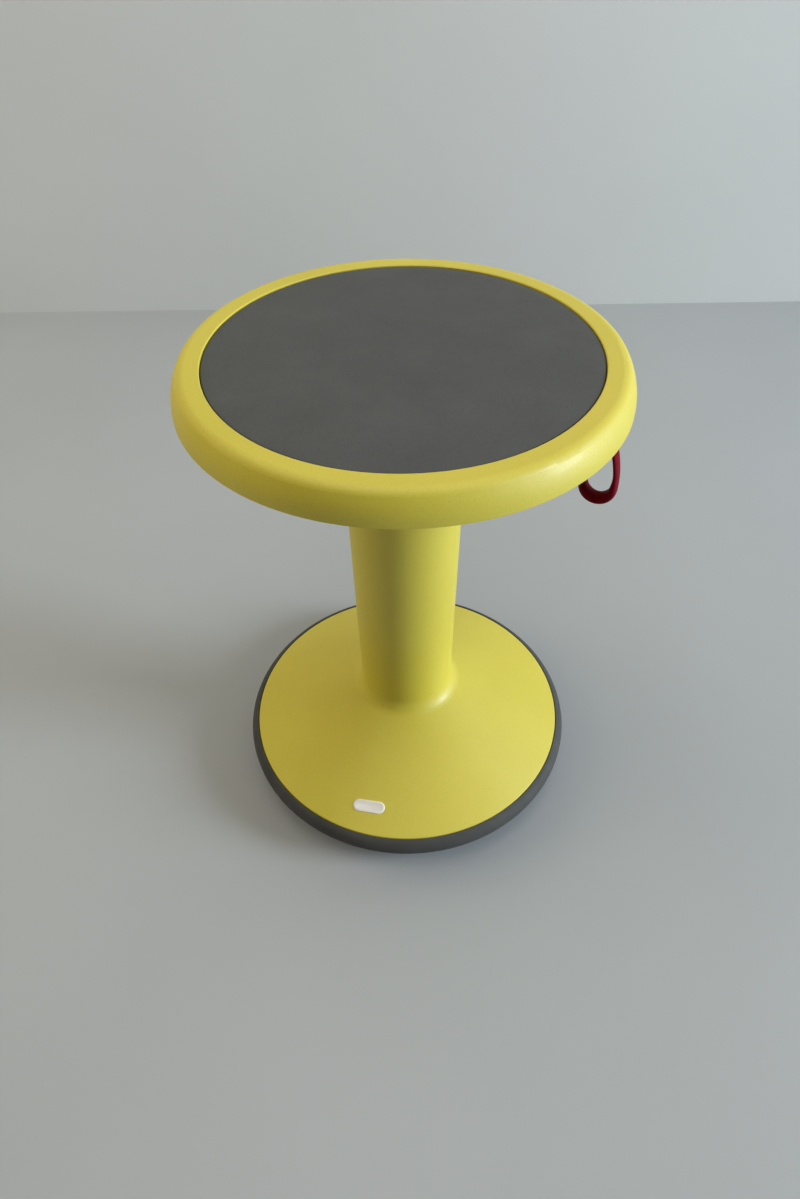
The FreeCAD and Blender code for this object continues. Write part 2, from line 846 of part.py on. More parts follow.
def make_ballast_plate():
    """Steel plate that pulls the stool upright, drilled for bosses and the hub's bolts."""
    body = new_body("ballast_plate")
    low = S.ballast_height
    rod_up(body, "plate", (0, 0), ballast_radius, low, ballast_top)
    spot = around(base_screw_circle, SCREW_ANGLE)
    boss_hole = rod_up(body, "boss_hole", spot, S.base_boss_radius + S.ballast_gap,
                       low, ballast_top, cut=True)
    ring_of(body, "boss_holes", [boss_hole], BASE_SCREWS)
    bolt_spot = around(S.socket_bolt_circle, BOLT_ANGLE)
    bolt_radius = S.socket_bolt_radius + S.running_gap
    bolt_hole = rod_up(body, "bolt_hole", bolt_spot, bolt_radius, low, ballast_top, cut=True)
    ring_of(body, "bolt_holes", [bolt_hole], SOCKET_BOLTS)
    soften(body, "plate_edge", [(ballast_radius, ballast_top)], S.bevel, "Chamfer")
    return body


def make_tube_socket():
    """Cast hub with a taper bore, a bolted flange and four gussets."""
    body = new_body("tube_socket")
    bore_low = S.stand_radius - S.stand_taper + S.running_gap
    bore_high = S.stand_radius + S.running_gap
    spin(body, "hub", [
        (bore_low, ballast_top),
        (S.socket_flange_radius, ballast_top),
        (S.socket_flange_radius, socket_flange_top),
        (S.socket_radius, socket_flange_top),
        (S.socket_radius - S.socket_draft, socket_top),
        (bore_high, socket_top),
    ])
    gusset_inner = S.socket_radius - S.socket_draft - S.root
    gusset_outer = S.socket_flange_radius - S.root
    gusset_top = socket_top - S.socket_gusset_drop
    gusset = web(body, "gusset", [
        (gusset_inner, ballast_top + S.root),
        (gusset_outer, ballast_top + S.root),
        (gusset_outer, socket_flange_top + S.socket_gusset_toe),
        (S.socket_radius, gusset_top),
        (gusset_inner, gusset_top),
    ], S.socket_gusset_thickness)
    ring_of(body, "gussets", [gusset], SOCKET_BOLTS)
    spot = around(S.socket_bolt_circle, BOLT_ANGLE)
    hole_radius = S.socket_bolt_radius + S.running_gap
    hole = rod_up(body, "bolt_hole", spot, hole_radius, ballast_top, socket_flange_top, cut=True)
    ring_of(body, "bolt_holes", [hole], SOCKET_BOLTS)
    return body


def make_stand_tube():
    """Outer tube of the gas column with its taper foot and closed bottom."""
    body = new_body("stand_tube")
    low = ballast_top + S.stand_rise
    bore_low = S.stand_bore - S.stand_step
    tail_bore = S.rod_tail_radius + S.rod_tail_gap
    spin(body, "tube", [
        (tail_bore, S.disc_height),
        (bore_low, S.disc_height),
        (bore_low, low),
        (S.stand_radius - S.stand_taper, low),
        (S.stand_radius, socket_top),
        (S.stand_radius, S.stand_top),
        (S.stand_bore, S.stand_top),
        (S.stand_bore, disc_top),
        (tail_bore, disc_top),
    ])
    return body


def make_guide_bush():
    """Long plastic bush that guides the pressure tube."""
    body = new_body("guide_bush")
    bore = S.tube_radius + S.running_gap
    outer = S.stand_bore - S.running_gap
    low = S.stand_top - S.bush_length
    band_top = low + S.bush_band
    band_low = S.stand_top - S.bush_band
    spin(body, "bush", [
        (bore, low),
        (outer - S.bush_bevel, low),
        (outer, low + S.bush_bevel),
        (outer, band_top),
        (outer - S.bush_relief, band_top + S.bush_relief),
        (outer - S.bush_relief, band_low - S.bush_relief),
        (outer, band_low),
        (outer, S.stand_top),
        (S.stand_radius, S.stand_top),
        (S.stand_radius, S.stand_top + S.bush_flange),
        (bore + S.bush_mouth, S.stand_top + S.bush_flange),
        (bore, S.stand_top + S.bush_flange - S.bush_mouth),
    ])
    return body


def make_column_collar():
    """Ribbed guide ring that centres the telescopic sleeve in the column's mouth."""
    body = new_body("column_collar")
    wall = collar_bore + S.collar_wall
    flange_top = column_top + S.collar_flange
    spin(body, "ring", [
        (collar_bore, collar_low),
        (wall, collar_low),
        (wall, column_top),
        (column_top_radius, column_top),
        (column_top_radius, flange_top - S.collar_bevel),
        (column_top_radius - S.collar_bevel, flange_top),
        (collar_bore, flange_top),
    ])
    fin_low = collar_low + S.bevel
    fin_full = fin_low + S.fin_lead
    fin_top = column_top + S.root
    inset = S.column_wall + S.free_gap
    fin = web(body, "fin", [
        (wall - S.root, fin_low),
        (column_radius(fin_low) - inset - S.fin_lead_in, fin_low),
        (column_radius(fin_full) - inset, fin_full),
        (column_radius(column_top) - inset, fin_top),
        (wall - S.root, fin_top),
    ], S.fin_thickness)
    ring_of(body, "fins", [fin], COLLAR_RIBS)
    return body


def make_race(name, low, bore):
    """A grooved washer of the thrust bearing."""
    body = new_body(name)
    spin(body, name + "_washer", [
        (bore, low),
        (S.race_radius, low),
        (S.race_radius, low + S.race_thickness),
        (bore, low + S.race_thickness),
    ])
    sketch = new_sketch(body, name + "_groove_sketch", "XZ_Plane")
    add_circle(sketch, S.ball_circle, ball_height, S.ball_radius + S.ball_gap)
    groove = body.newObject("PartDesign::Groove", name + "_groove")
    groove.Profile = sketch
    groove.ReferenceAxis = (sketch, ["V_Axis"])
    groove.Angle = FULL_TURN
    return body


def make_ball_cage():
    """Flat ring with a pocket for each ball."""
    body = new_body("ball_cage")
    low = ball_height - S.cage_thickness / 2
    high = ball_height + S.cage_thickness / 2
    half_width = S.ball_radius + S.cage_land
    spin(body, "ring", [
        (S.ball_circle - half_width, low),
        (S.ball_circle + half_width, low),
        (S.ball_circle + half_width, high),
        (S.ball_circle - half_width, high),
    ])
    spot = around(S.ball_circle, 0)
    pocket = rod_up(body, "pocket", spot, S.ball_radius + S.running_gap, low, high, cut=True)
    ring_of(body, "pockets", [pocket], BALLS)
    return body


def make_bearing_balls():
    """The steel balls between the two washers."""
    body = new_body("bearing_balls")
    ball = body.newObject("PartDesign::AdditiveSphere", "ball")
    ball.AttachmentSupport = [(origin_feature(body, "XY_Plane"), "")]
    ball.MapMode = "FlatFace"
    ball.Radius = S.ball_radius.value
    ball.setExpression("Radius", S.ball_radius.text)
    ball.setExpression("AttachmentOffset.Base.x", S.ball_circle.text)
    ball.setExpression("AttachmentOffset.Base.z", ball_height.text)
    ring_of(body, "balls", [ball], BALLS)
    return body


def make_piston_rod():
    """Polished rod with a clipped tail below and a thread for the piston above."""
    body = new_body("piston_rod")
    tail = S.rod_tail_radius
    low = S.disc_height - S.rod_tail_length
    groove = tail - S.clip_groove_depth
    thread_top = piston_top + S.rod_thread_end
    spin(body, "rod", [
        (0, low),
        (tail - S.rod_bevel, low),
        (tail, low + S.rod_bevel),
        (tail, clip_groove_low),
        (groove, clip_groove_low),
        (groove, clip_groove_high),
        (tail, clip_groove_high),
        (tail, rod_shoulder),
        (S.rod_radius, rod_shoulder),
        (S.rod_radius, piston_low),
        (S.rod_thread_radius, piston_low),
        (S.rod_thread_radius, thread_top),
        (0, thread_top),
    ])
    return body


def make_rod_clip():
    """Open retaining clip in the groove of the rod's tail."""
    body = new_body("rod_clip")
    bore = S.rod_tail_radius - S.clip_groove_depth + S.running_gap
    outer = S.rod_tail_radius + S.clip_reach
    spin(body, "ring", [
        (bore, clip_low),
        (outer, clip_low),
        (outer, clip_high),
        (bore, clip_high),
    ])
    half = bore - S.clip_bite
    slab_up(body, "mouth", box_corners(0, -half, outer + S.cut_past, half),
            clip_low, clip_high, cut=True)
    return body


def make_rubber_buffer():
    """Rubber stop under the pressure tube at the lowest seat setting."""
    body = new_body("rubber_buffer")
    bore = S.rod_radius + S.running_gap
    top = S.tube_foot - S.free_gap
    spin(body, "ring", [
        (bore, rod_shoulder),
        (S.buffer_radius - S.buffer_bevel, rod_shoulder),
        (S.buffer_radius, rod_shoulder + S.buffer_bevel),
        (S.buffer_radius, top),
        (bore, top),
    ])
    return body


def make_piston():
    """Piston with a ring groove and gas ports."""
    body = new_body("piston")
    bore = S.rod_thread_radius + S.running_gap
    outer = S.tube_bore - S.piston_gap
    groove = outer - S.piston_groove_depth
    groove_low = piston_low + S.piston_groove_low
    groove_high = groove_low + S.piston_groove_width
    spin(body, "piston_body", [
        (bore, piston_low),
        (outer - S.piston_bevel, piston_low),
        (outer, piston_low + S.piston_bevel),
        (outer, groove_low),
        (groove, groove_low),
        (groove, groove_high),
        (outer, groove_high),
        (outer, piston_top - S.piston_bevel),
        (outer - S.piston_bevel, piston_top),
        (bore, piston_top),
    ])
    spot = around(S.port_circle, 0)
    port = rod_up(body, "port", spot, S.port_radius, piston_low, piston_top, cut=True)
    ring_of(body, "ports", [port], PISTON_PORTS)
    return body


def make_piston_ring():
    """Seal ring in the piston's groove."""
    body = new_body("piston_ring")
    outer = S.tube_bore - S.ring_gap
    inner = S.tube_bore - S.piston_gap - S.piston_groove_depth + S.ring_play
    low = piston_low + S.piston_groove_low + S.ring_play
    high = piston_low + S.piston_groove_low + S.piston_groove_width - S.ring_play
    spin(body, "ring", [(inner, low), (outer, low), (outer, high), (inner, high)])
    return body


def make_piston_nut():
    """Hexagon nut on the rod's thread."""
    body = new_body("piston_nut")
    sketch = new_sketch(body, "nut_sketch", "XY_Plane", piston_top)
    add_outline(sketch, [around(S.nut_radius, FULL_TURN * side / NUT_SIDES)
                         for side in range(NUT_SIDES)])
    raise_sketch(body, "nut", sketch, S.nut_thickness)
    bore = S.rod_thread_radius + S.running_gap
    rod_up(body, "thread", (0, 0), bore, piston_top, piston_top + S.nut_thickness, cut=True)
    return body


def make_pressure_tube():
    """Inner tube of the gas column: crimped foot, taper head for the plate's hub."""
    body = new_body("pressure_tube")
    mouth = S.tube_bore - S.tube_lip
    head = S.tube_radius - S.tube_taper
    lip_low = tube_top - S.tube_head_lip
    spin(body, "tube", [
        (mouth, S.tube_foot),
        (S.tube_radius - S.bevel, S.tube_foot),
        (S.tube_radius, S.tube_foot + S.bevel),
        (S.tube_radius, hub_bottom),
        (head, tube_top),
        (mouth, tube_top),
        (mouth, lip_low),
        (S.tube_bore, lip_low),
        (S.tube_bore, guide_low),
        (mouth, guide_low),
    ])
    return body


def make_rod_guide():
    """Guide ring for the rod in the foot of the pressure tube."""
    body = new_body("rod_guide")
    bore = S.rod_radius + S.running_gap
    outer = S.tube_bore - S.running_gap
    waist = outer - S.guide_relief
    band_top = guide_low + S.guide_band
    band_low = seal_low - S.guide_band
    spin(body, "ring", [
        (bore, guide_low),
        (outer, guide_low),
        (outer, band_top),
        (waist, band_top + S.guide_relief),
        (waist, band_low - S.guide_relief),
        (outer, band_low),
        (outer, seal_low),
        (bore, seal_low),
    ])
    return body


def make_rod_seal():
    """Rubber seal with a lip above the rod guide."""
    body = new_body("rod_seal")
    bore = S.rod_radius + S.running_gap
    outer = S.tube_bore - S.running_gap
    lip_foot = S.seal_lip + S.seal_slope
    groove = seal_top - S.seal_groove
    spin(body, "seal", [
        (bore, seal_low),
        (outer, seal_low),
        (outer, seal_top),
        (outer - S.seal_lip, seal_top),
        (outer - lip_foot, groove),
        (bore + lip_foot, groove),
        (bore + S.seal_lip, seal_top),
        (bore, seal_top),
    ])
    return body


def make_valve_body():
    """Valve block in the head of the pressure tube, bored for the release pin."""
    body = new_body("valve_body")
    outer = S.tube_bore - S.running_gap
    lip_low = tube_top - S.tube_head_lip
    low = lip_low - S.valve_length
    groove = outer - S.valve_groove_depth
    groove_low = low + S.valve_groove_low
    groove_high = groove_low + S.valve_groove_width
    nose = outer - S.tube_lip
    spin(body, "block", [
        (0, low),
        (outer, low),
        (outer, groove_low),
        (groove, groove_low),
        (groove, groove_high),
        (outer, groove_high),
        (outer, lip_low),
        (nose, lip_low),
        (nose, tube_top),
        (0, tube_top),
    ])
    bore = S.pin_radius + S.running_gap
    bore_low = pin_top - S.pin_length - S.pin_room
    rod_up(body, "pin_bore", (0, 0), bore, bore_low, tube_top, cut=True)
    return body


def make_release_pin():
    """Round headed pin that opens the valve when it is pressed."""
    body = new_body("release_pin")
    low = pin_top - S.pin_length
    crown = S.pin_crown
    crown_radius = (S.pin_radius * S.pin_radius + crown * crown) / (crown * 2)
    spin(body, "pin", [
        (0, low),
        (S.pin_radius - S.pin_bevel, low),
        (S.pin_radius, low + S.pin_bevel),
        (S.pin_radius, pin_top - crown, crown_radius),
        (0, pin_top),
    ])
    return body


def make_inner_sleeve():
    """Telescopic sleeve that hides the gas column when the seat is raised."""
    body = new_body("inner_sleeve")
    flange_low = cover_hub_height + S.cover_wall
    flange_top = flange_low + S.sleeve_flange
    flange_radius = S.cover_hub_radius - S.sleeve_flange_inset
    spin(body, "sleeve", [
        (sleeve_bore, sleeve_low),
        (S.sleeve_radius - S.bevel, sleeve_low),
        (S.sleeve_radius, sleeve_low + S.bevel),
        (S.sleeve_radius, flange_low),
        (flange_radius, flange_low),
        (flange_radius, flange_top),
        (S.sleeve_radius, flange_top),
        (S.sleeve_radius, plate_bottom),
        (sleeve_bore, plate_bottom),
    ])
    return body


def make_seat_plate():
    """Pressed steel plate with turned down edges and a gusseted taper hub."""
    body = new_body("seat_plate")
    half = S.plate_half_width
    cut_back = S.plate_corner_cut
    flange_low = plate_top - S.plate_flange_depth
    corners = [
        (half, cut_back - half), (half, half - cut_back),
        (half - cut_back, half), (cut_back - half, half),
        (-half, half - cut_back), (-half, cut_back - half),
        (cut_back - half, -half), (half - cut_back, -half),
    ]
    slab_up(body, "plate", corners, plate_bottom, plate_top)
    straight = half - cut_back
    edge = slab_up(body, "edge", box_corners(half - S.plate_thickness, -straight, half, straight),
                   flange_low, plate_bottom + S.root)
    ring_of(body, "edges", [edge], PLATE_EDGES)
    bore_low = S.tube_radius + S.running_gap
    hub_root = S.hub_radius - S.root
    rod_up(body, "opening", (0, 0), hub_root, plate_bottom, plate_top, cut=True)
    spin(body, "hub", [
        (bore_low, hub_bottom),
        (S.hub_radius, hub_bottom),
        (S.hub_radius, plate_top),
        (bore_low - hub_taper(plate_top), plate_top),
    ])
    gusset = web(body, "gusset", [
        (hub_root, hub_bottom + S.hub_gusset_toe),
        (S.hub_gusset_reach, plate_bottom - S.hub_gusset_depth),
        (S.hub_gusset_reach, plate_bottom + S.root),
        (hub_root, plate_bottom + S.root),
    ], S.hub_gusset_thickness, turn=BOLT_ANGLE)
    ring_of(body, "gussets", [gusset], HUB_GUSSETS)
    bolt_spot = (S.plate_bolt_offset, S.plate_bolt_offset)
    bolt_radius = S.plate_bolt_radius + S.running_gap
    hole = rod_up(body, "bolt_hole", bolt_spot, bolt_radius, plate_bottom, plate_top, cut=True)
    ring_of(body, "bolt_holes", [hole], PLATE_BOLTS)
    for index, spot in enumerate(rivet_spots):
        rod_up(body, "rivet_hole_%d" % index, spot, S.rivet_radius + S.running_gap,
               plate_bottom, plate_top, cut=True)
    return body


def make_lever_bracket():
    """Folded bracket with two ears for the lever's pivot pin."""
    body = new_body("lever_bracket")
    inner = S.lever_width / 2 + S.ear_gap
    back = rivet_x - S.bracket_tail
    front = pivot_x + S.knuckle_radius
    floor_top = plate_top + S.bracket_thickness
    slab_up(body, "floor", box_corners(back, -ear_outer, front, ear_outer), plate_top, floor_top)
    ear_sketch = new_sketch(body, "ear_sketch", "XZ_Plane")
    add_outline(ear_sketch, [
        (back, plate_top),
        (front, plate_top),
        (front, pivot_height, S.knuckle_radius),
        (pivot_x, pivot_height + S.knuckle_radius, S.knuckle_radius),
        (pivot_x - S.knuckle_radius, pivot_height),
        (back, floor_top),
    ])
    across(body, "ears", ear_sketch, ear_outer * 2)
    gap_sketch = new_sketch(body, "gap_sketch", "XZ_Plane")
    add_outline(gap_sketch, box_corners(back - S.cut_past, floor_top, front + S.cut_past,
                                        lever_top + S.cut_past))
    across(body, "ear_gap", gap_sketch, inner * 2, cut=True)
    cross_rod(body, "pin_hole", pivot_x, pivot_height, S.pivot_pin_radius + S.running_gap,
              (ear_outer + S.cut_past) * 2, cut=True)
    for index, spot in enumerate(rivet_spots):
        rod_up(body, "rivet_hole_%d" % index, spot, S.rivet_radius + S.running_gap,
               plate_top, floor_top, cut=True)
    return body


def make_bracket_rivets():
    """Two rivets that hold the bracket on the plate."""
    body = new_body("bracket_rivets")
    head_low = plate_top + S.bracket_thickness
    head_radius = S.rivet_radius + S.rivet_head_margin
    tail_radius = S.rivet_radius + S.rivet_tail_margin
    for index, spot in enumerate(rivet_spots):
        rod_up(body, "shank_%d" % index, spot, S.rivet_radius, plate_bottom, head_low)
        rod_up(body, "head_%d" % index, spot, head_radius, head_low, head_low + S.rivet_head_height)
        rod_up(body, "tail_%d" % index, spot, tail_radius,
               plate_bottom - S.rivet_tail_height, plate_bottom)
    return body


def make_cross_pin(name, x, z, radius, low, high, low_head, high_head):
    """A pin along Y between two places, with a flat head on either end or both."""
    body = new_body(name)
    head_radius = radius + S.pin_head_margin
    rod_between(body, name + "_shank", x, z, radius, low, high)
    if low_head:
        rod_between(body, name + "_low_head", x, z, head_radius, low - S.pin_head_height, low)
    if high_head:
        rod_between(body, name + "_high_head", x, z, head_radius, high, high + S.pin_head_height)
    return body


def make_pivot_clip():
    """Snap ring on the free end of the pivot pin."""
    body = new_body("pivot_clip")
    middle = pivot_head + S.snap_thickness / 2
    sketch = new_sketch(body, "clip_sketch", "XZ_Plane", -middle)
    add_circle(sketch, pivot_x, pivot_height, S.pivot_pin_radius + S.snap_width)
    add_circle(sketch, pivot_x, pivot_height, S.pivot_pin_radius + S.running_gap)
    across(body, "clip", sketch, S.snap_thickness)
    return body


def make_release_lever():
    """Bent bar: knuckle at the back, a flat over the pin, and a fork for the loop."""
    body = new_body("release_lever")
    half = S.lever_width / 2
    eye_edge = eye_radius - S.eye_slope
    web(body, "bar", [
        (pivot_x, pivot_height - S.knuckle_radius + S.root),
        (pivot_x + S.knuckle_radius, lever_bottom),
        (S.lever_bend, lever_bottom),
        (loop_reach, loop_pin_height - eye_edge),
        (loop_reach, loop_pin_height + eye_edge),
        (fork_root - S.lever_neck, loop_pin_height + eye_radius + S.eye_slope),
        (S.lever_bend + S.lever_bend_shift, lever_top),
        (pivot_x, lever_top),
    ], S.lever_width)
    cross_rod(body, "knuckle", pivot_x, pivot_height, S.knuckle_radius, S.lever_width)
    cross_rod(body, "eye", loop_reach, loop_pin_height, eye_radius, S.lever_width)
    inside = half - S.tine_thickness
    slab_up(body, "fork_slot",
            box_corners(fork_root, -inside, loop_reach + eye_radius + S.cut_past, inside),
            loop_pin_height - S.fork_depth, loop_pin_height + S.fork_depth, cut=True)
    through = (half + S.cut_past) * 2
    cross_rod(body, "pivot_hole", pivot_x, pivot_height, S.pivot_pin_radius + S.running_gap,
              through, cut=True)
    cross_rod(body, "loop_hole", loop_reach, loop_pin_height, S.loop_pin_radius + S.running_gap,
              through, cut=True)
    window_end = S.lever_bend - S.window_end_inset
    slab_up(body, "window",
            box_corners(S.window_start, -S.window_half_width, window_end, S.window_half_width),
            lever_bottom, lever_top, cut=True)
    return body


def egg(width, low, top_centre, top_radius):
    """An egg outline about the loop's line, drawn with arcs that run into each other.

    width is the widest half, low the lowest point, and the top arc has its own centre height
    and radius.
    """
    waist = low + width
    rise = top_centre - waist
    side_radius = (width * width + rise * rise - top_radius * top_radius) \
        / ((width - top_radius) * 2)
    meet_x = top_radius * (side_radius - width) / (side_radius - top_radius)
    meet_z = top_centre + top_radius * rise / (side_radius - top_radius)
    return [
        (loop_reach, low, width),
        (loop_reach + width, waist, side_radius),
        (loop_reach + meet_x, meet_z, top_radius),
        (loop_reach, top_centre + top_radius, top_radius),
        (loop_reach - meet_x, meet_z, side_radius),
        (loop_reach - width, waist, width),
    ]


def make_pull_loop():
    """Soft crimson loop, thicker at its heel, that hangs from the lever's pin."""
    body = new_body("pull_loop")
    bore = S.loop_pin_radius + S.free_gap
    low = loop_pin_height + bore + S.loop_band - S.loop_length
    sketch = new_sketch(body, "loop_sketch", "XZ_Plane")
    add_outline(sketch, egg(S.loop_half_width, low, loop_pin_height, bore + S.loop_band))
    add_outline(sketch, egg(S.loop_half_width - S.loop_band, low + S.loop_heel,
                            loop_pin_height, bore))
    across(body, "loop", sketch, S.loop_width)
    return body


def make_seat_shell():
    """Moulded seat: rounded rim, recess for the pad, ribs and bosses underneath."""
    body = new_body("seat_shell")
    corner_drop = S.rim_side_drop
    corner_out = S.seat_radius - rim_land_radius
    small = S.rim_corner_radius
    big = (corner_out * corner_out + corner_drop * corner_drop - corner_drop * small * 2) \
        / ((corner_out - small) * 2)
    share_x = (big - corner_out) / (big - small)
    share_z = (corner_drop - small) / (big - small)
    meet_x = rim_land_radius + small * share_x
    meet_z = seat_top - small + small * share_z
    wall = S.seat_wall
    recess = pad_radius + S.pad_gap
    inner_small = small - wall
    inner_big = big - wall
    inner_meet_x = meet_x - wall * share_x
    inner_meet_z = meet_z - wall * share_z
    spin(body, "shell_wall", [
        (0, floor_bottom),
        (recess + wall, floor_bottom),
        (recess + wall, seat_top - wall),
        (rim_land_radius, seat_top - wall, -inner_small),
        (inner_meet_x, inner_meet_z, -inner_big),
        (S.seat_radius - wall, rim_side_low),
        (S.seat_radius - wall, rim_bottom),
        (S.seat_radius, rim_bottom),
        (S.seat_radius, rim_side_low, big),
        (meet_x, meet_z, small),
        (rim_land_radius, seat_top),
        (recess + S.recess_bevel, seat_top),
        (recess, seat_top - S.recess_bevel),
        (recess, pad_bottom),
        (0, pad_bottom),
    ])
    rib_wall = recess + S.root
    rib_top = floor_bottom + S.root
    toe_x = S.seat_radius - wall - S.seat_rib_toe_inset
    toe_z = seat_top - wall - S.seat_rib_toe_drop
    rib = web(body, "rib", [
        (S.seat_rib_start, rib_bottom),
        (rib_wall, rib_bottom),
        (toe_x, toe_z),
        (rib_wall, seat_top - wall - S.root),
        (rib_wall, rib_top),
        (S.seat_rib_start, rib_top),
    ], S.seat_rib_thickness, turn=SEAT_RIB_ANGLE)
    ring_of(body, "ribs", [rib], SEAT_RIBS)
    ring_inner = S.seat_rib_start - S.seat_rib_thickness / 2
    ring_outer = S.seat_rib_start + S.seat_rib_thickness / 2
    spin(body, "rib_ring", [
        (ring_inner, rib_bottom),
        (ring_outer, rib_bottom),
        (ring_outer, rib_top),
        (ring_inner, rib_top),
    ])
    boss_spot = (S.plate_bolt_offset, S.plate_bolt_offset)
    boss = rod_up(body, "boss", boss_spot, S.boss_radius, plate_top, rib_top)
    ring_of(body, "bosses", [boss], PLATE_BOLTS)
    bolt_radius = S.plate_bolt_radius + S.running_gap
    bolt_hole = rod_up(body, "bolt_hole", boss_spot, bolt_radius, plate_top,
                       boss_hole_top, cut=True)
    ring_of(body, "bolt_holes", [bolt_hole], PLATE_BOLTS)
    post_spot = around(cover_screw_circle, SCREW_ANGLE)
    post_radius = S.cover_screw_radius + S.cover_post_wall
    post = rod_up(body, "post", post_spot, post_radius, cover_post_low, rib_top)
    ring_of(body, "posts", [post], COVER_SCREWS)
    screw_radius = S.cover_screw_radius + S.running_gap
    post_hole = rod_up(body, "post_hole", post_spot, screw_radius, cover_post_low,
                       boss_hole_top, cut=True)
    ring_of(body, "post_holes", [post_hole], COVER_SCREWS)
    return body


def make_seat_pad():
    """Soft round pad: it slopes up a little to a level middle, and its edge is rounded."""
    body = new_body("seat_pad")
    edge_top = seat_top - S.pad_crown
    spin(body, "pad", [
        (0, pad_bottom),
        (pad_radius, pad_bottom),
        (pad_radius, edge_top),
        (pad_radius - S.pad_crown_run, seat_top),
        (0, seat_top),
    ])
    soften(body, "pad_round", [(pad_radius, edge_top)], S.pad_edge_round)
    return body


def make_under_cover():
    """Dished cover under the seat with a screw land, a slot for the lever and a hub ring."""
    body = new_body("under_cover")
    wall = S.cover_wall
    edge = S.seat_radius - S.seat_wall - S.cover_gap
    edge_low = rim_bottom + S.cover_rise
    lip_top = edge_low + S.cover_lip
    land_out = cover_screw_circle + S.cover_land_half_width
    land_in = cover_screw_circle - S.cover_land_half_width
    hub_in = S.sleeve_radius + S.sleeve_gap
    hub_out = S.cover_hub_radius
    fall = cover_land - cover_hub_height
    run = land_in - hub_out
    dish = (run * run + fall * fall) / fall
    spin(body, "dish", [
        (hub_in, cover_hub_height),
        (hub_out, cover_hub_height, dish),
        (land_in, cover_land),
        (land_out, cover_land),
        (edge - S.cover_step, edge_low),
        (edge, edge_low),
        (edge, lip_top),
        (edge - wall, lip_top),
        (edge - wall, edge_low + wall),
        (land_out - S.bevel, cover_post_low),
        (land_in, cover_post_low, -dish),
        (hub_out, cover_hub_height + wall),
        (hub_in, cover_hub_height + wall),
    ])
    spot = around(cover_screw_circle, SCREW_ANGLE)
    hole = rod_up(body, "screw_hole", spot, S.cover_screw_radius + S.running_gap,
                  cover_land, cover_post_low, cut=True)
    ring_of(body, "screw_holes", [hole], COVER_SCREWS)
    slab_up(body, "lever_slot",
            box_corners(S.slot_start, -S.slot_half_width, edge + S.cut_past, S.slot_half_width),
            cover_hub_height, seat_top, cut=True)
    return body


builds = [
    make_base_shell(),
    make_rocker_pan(),
    make_centre_foot(),
    screws("foot_screws", foot_screw_circle, FOOT_SCREWS, FOOT_SCREW_ANGLE,
           [(S.foot_screw_radius, foot_screw_low, web_top),
            (S.foot_screw_head, web_top, web_top + S.foot_screw_head_height)]),
    screws("base_screws", base_screw_circle, BASE_SCREWS, SCREW_ANGLE,
           [(S.base_screw_head, screw_seat - S.base_screw_head_height, screw_seat),
            (S.base_screw_radius, screw_seat, base_boss_low + S.base_screw_grip)]),
    make_ballast_plate(),
    make_tube_socket(),
    screws("socket_bolts", S.socket_bolt_circle, SOCKET_BOLTS, BOLT_ANGLE,
           [(S.socket_bolt_radius, S.ballast_height, socket_flange_top),
            (S.socket_bolt_head, socket_flange_top,
             socket_flange_top + S.socket_bolt_head_height)]),
    make_stand_tube(),
    make_guide_bush(),
    make_column_collar(),
    make_race("bearing_lower_race", disc_top, S.rod_tail_radius + S.free_gap),
    make_ball_cage(),
    make_bearing_balls(),
    make_race("bearing_upper_race", upper_race_bottom, S.rod_tail_radius + S.running_gap),
    make_rod_clip(),
    make_rubber_buffer(),
    make_piston_rod(),
    make_piston(),
    make_piston_ring(),
    make_piston_nut(),
    make_pressure_tube(),
    make_rod_guide(),
    make_rod_seal(),
    make_valve_body(),
    make_release_pin(),
    make_inner_sleeve(),
    make_seat_plate(),
    screws("seat_plate_bolts", S.plate_bolt_offset * math.sqrt(2), PLATE_BOLTS, BOLT_ANGLE,
           [(S.plate_bolt_head, plate_bottom - S.plate_bolt_head_height, plate_bottom),
            (S.plate_bolt_radius, plate_bottom, boss_screw_top)]),
    make_lever_bracket(),
    make_bracket_rivets(),
    make_cross_pin("lever_pivot_pin", pivot_x, pivot_height, S.pivot_pin_radius,
                   -pivot_head, pivot_end, True, False),
    make_pivot_clip(),
    make_release_lever(),
    make_cross_pin("loop_pin", loop_reach, loop_pin_height, S.loop_pin_radius,
                   -loop_pin_half, loop_pin_half, True, True),
    make_pull_loop(),
    make_seat_shell(),
    make_seat_pad(),
    make_under_cover(),
    screws("cover_screws", cover_screw_circle, COVER_SCREWS, SCREW_ANGLE,
           [(S.cover_screw_head, cover_land - S.cover_screw_head_height, cover_land),
            (S.cover_screw_radius, cover_land, boss_screw_top)]),
]
doc.recompute()

for thing in doc.Objects:
    if "Invalid" in thing.State or "Error" in thing.State:
        raise RuntimeError("%s is in state %s" % (thing.Name, thing.State))
for body in builds:
    if body.Shape.isNull() or not body.Shape.isValid():
        raise RuntimeError("%s has no valid shape" % body.Label)

os.makedirs("parts", exist_ok=True)
for body in builds:
    body.Shape.exportStep("parts/%s.step" % body.Label)
    print(body.Label, len(body.Shape.Solids), round(body.Shape.Volume, 1))
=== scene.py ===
"""Looks of the wobble stool: finishes, soft pad, rounded pull loop, bare plate, stage and light.

Metres, in the row frame: +Z is up, the floor is z = 0 and the pull loop hangs on the +X side.
"""

import bmesh
import bpy
import json
import math
from mathutils import Matrix, Vector, noise


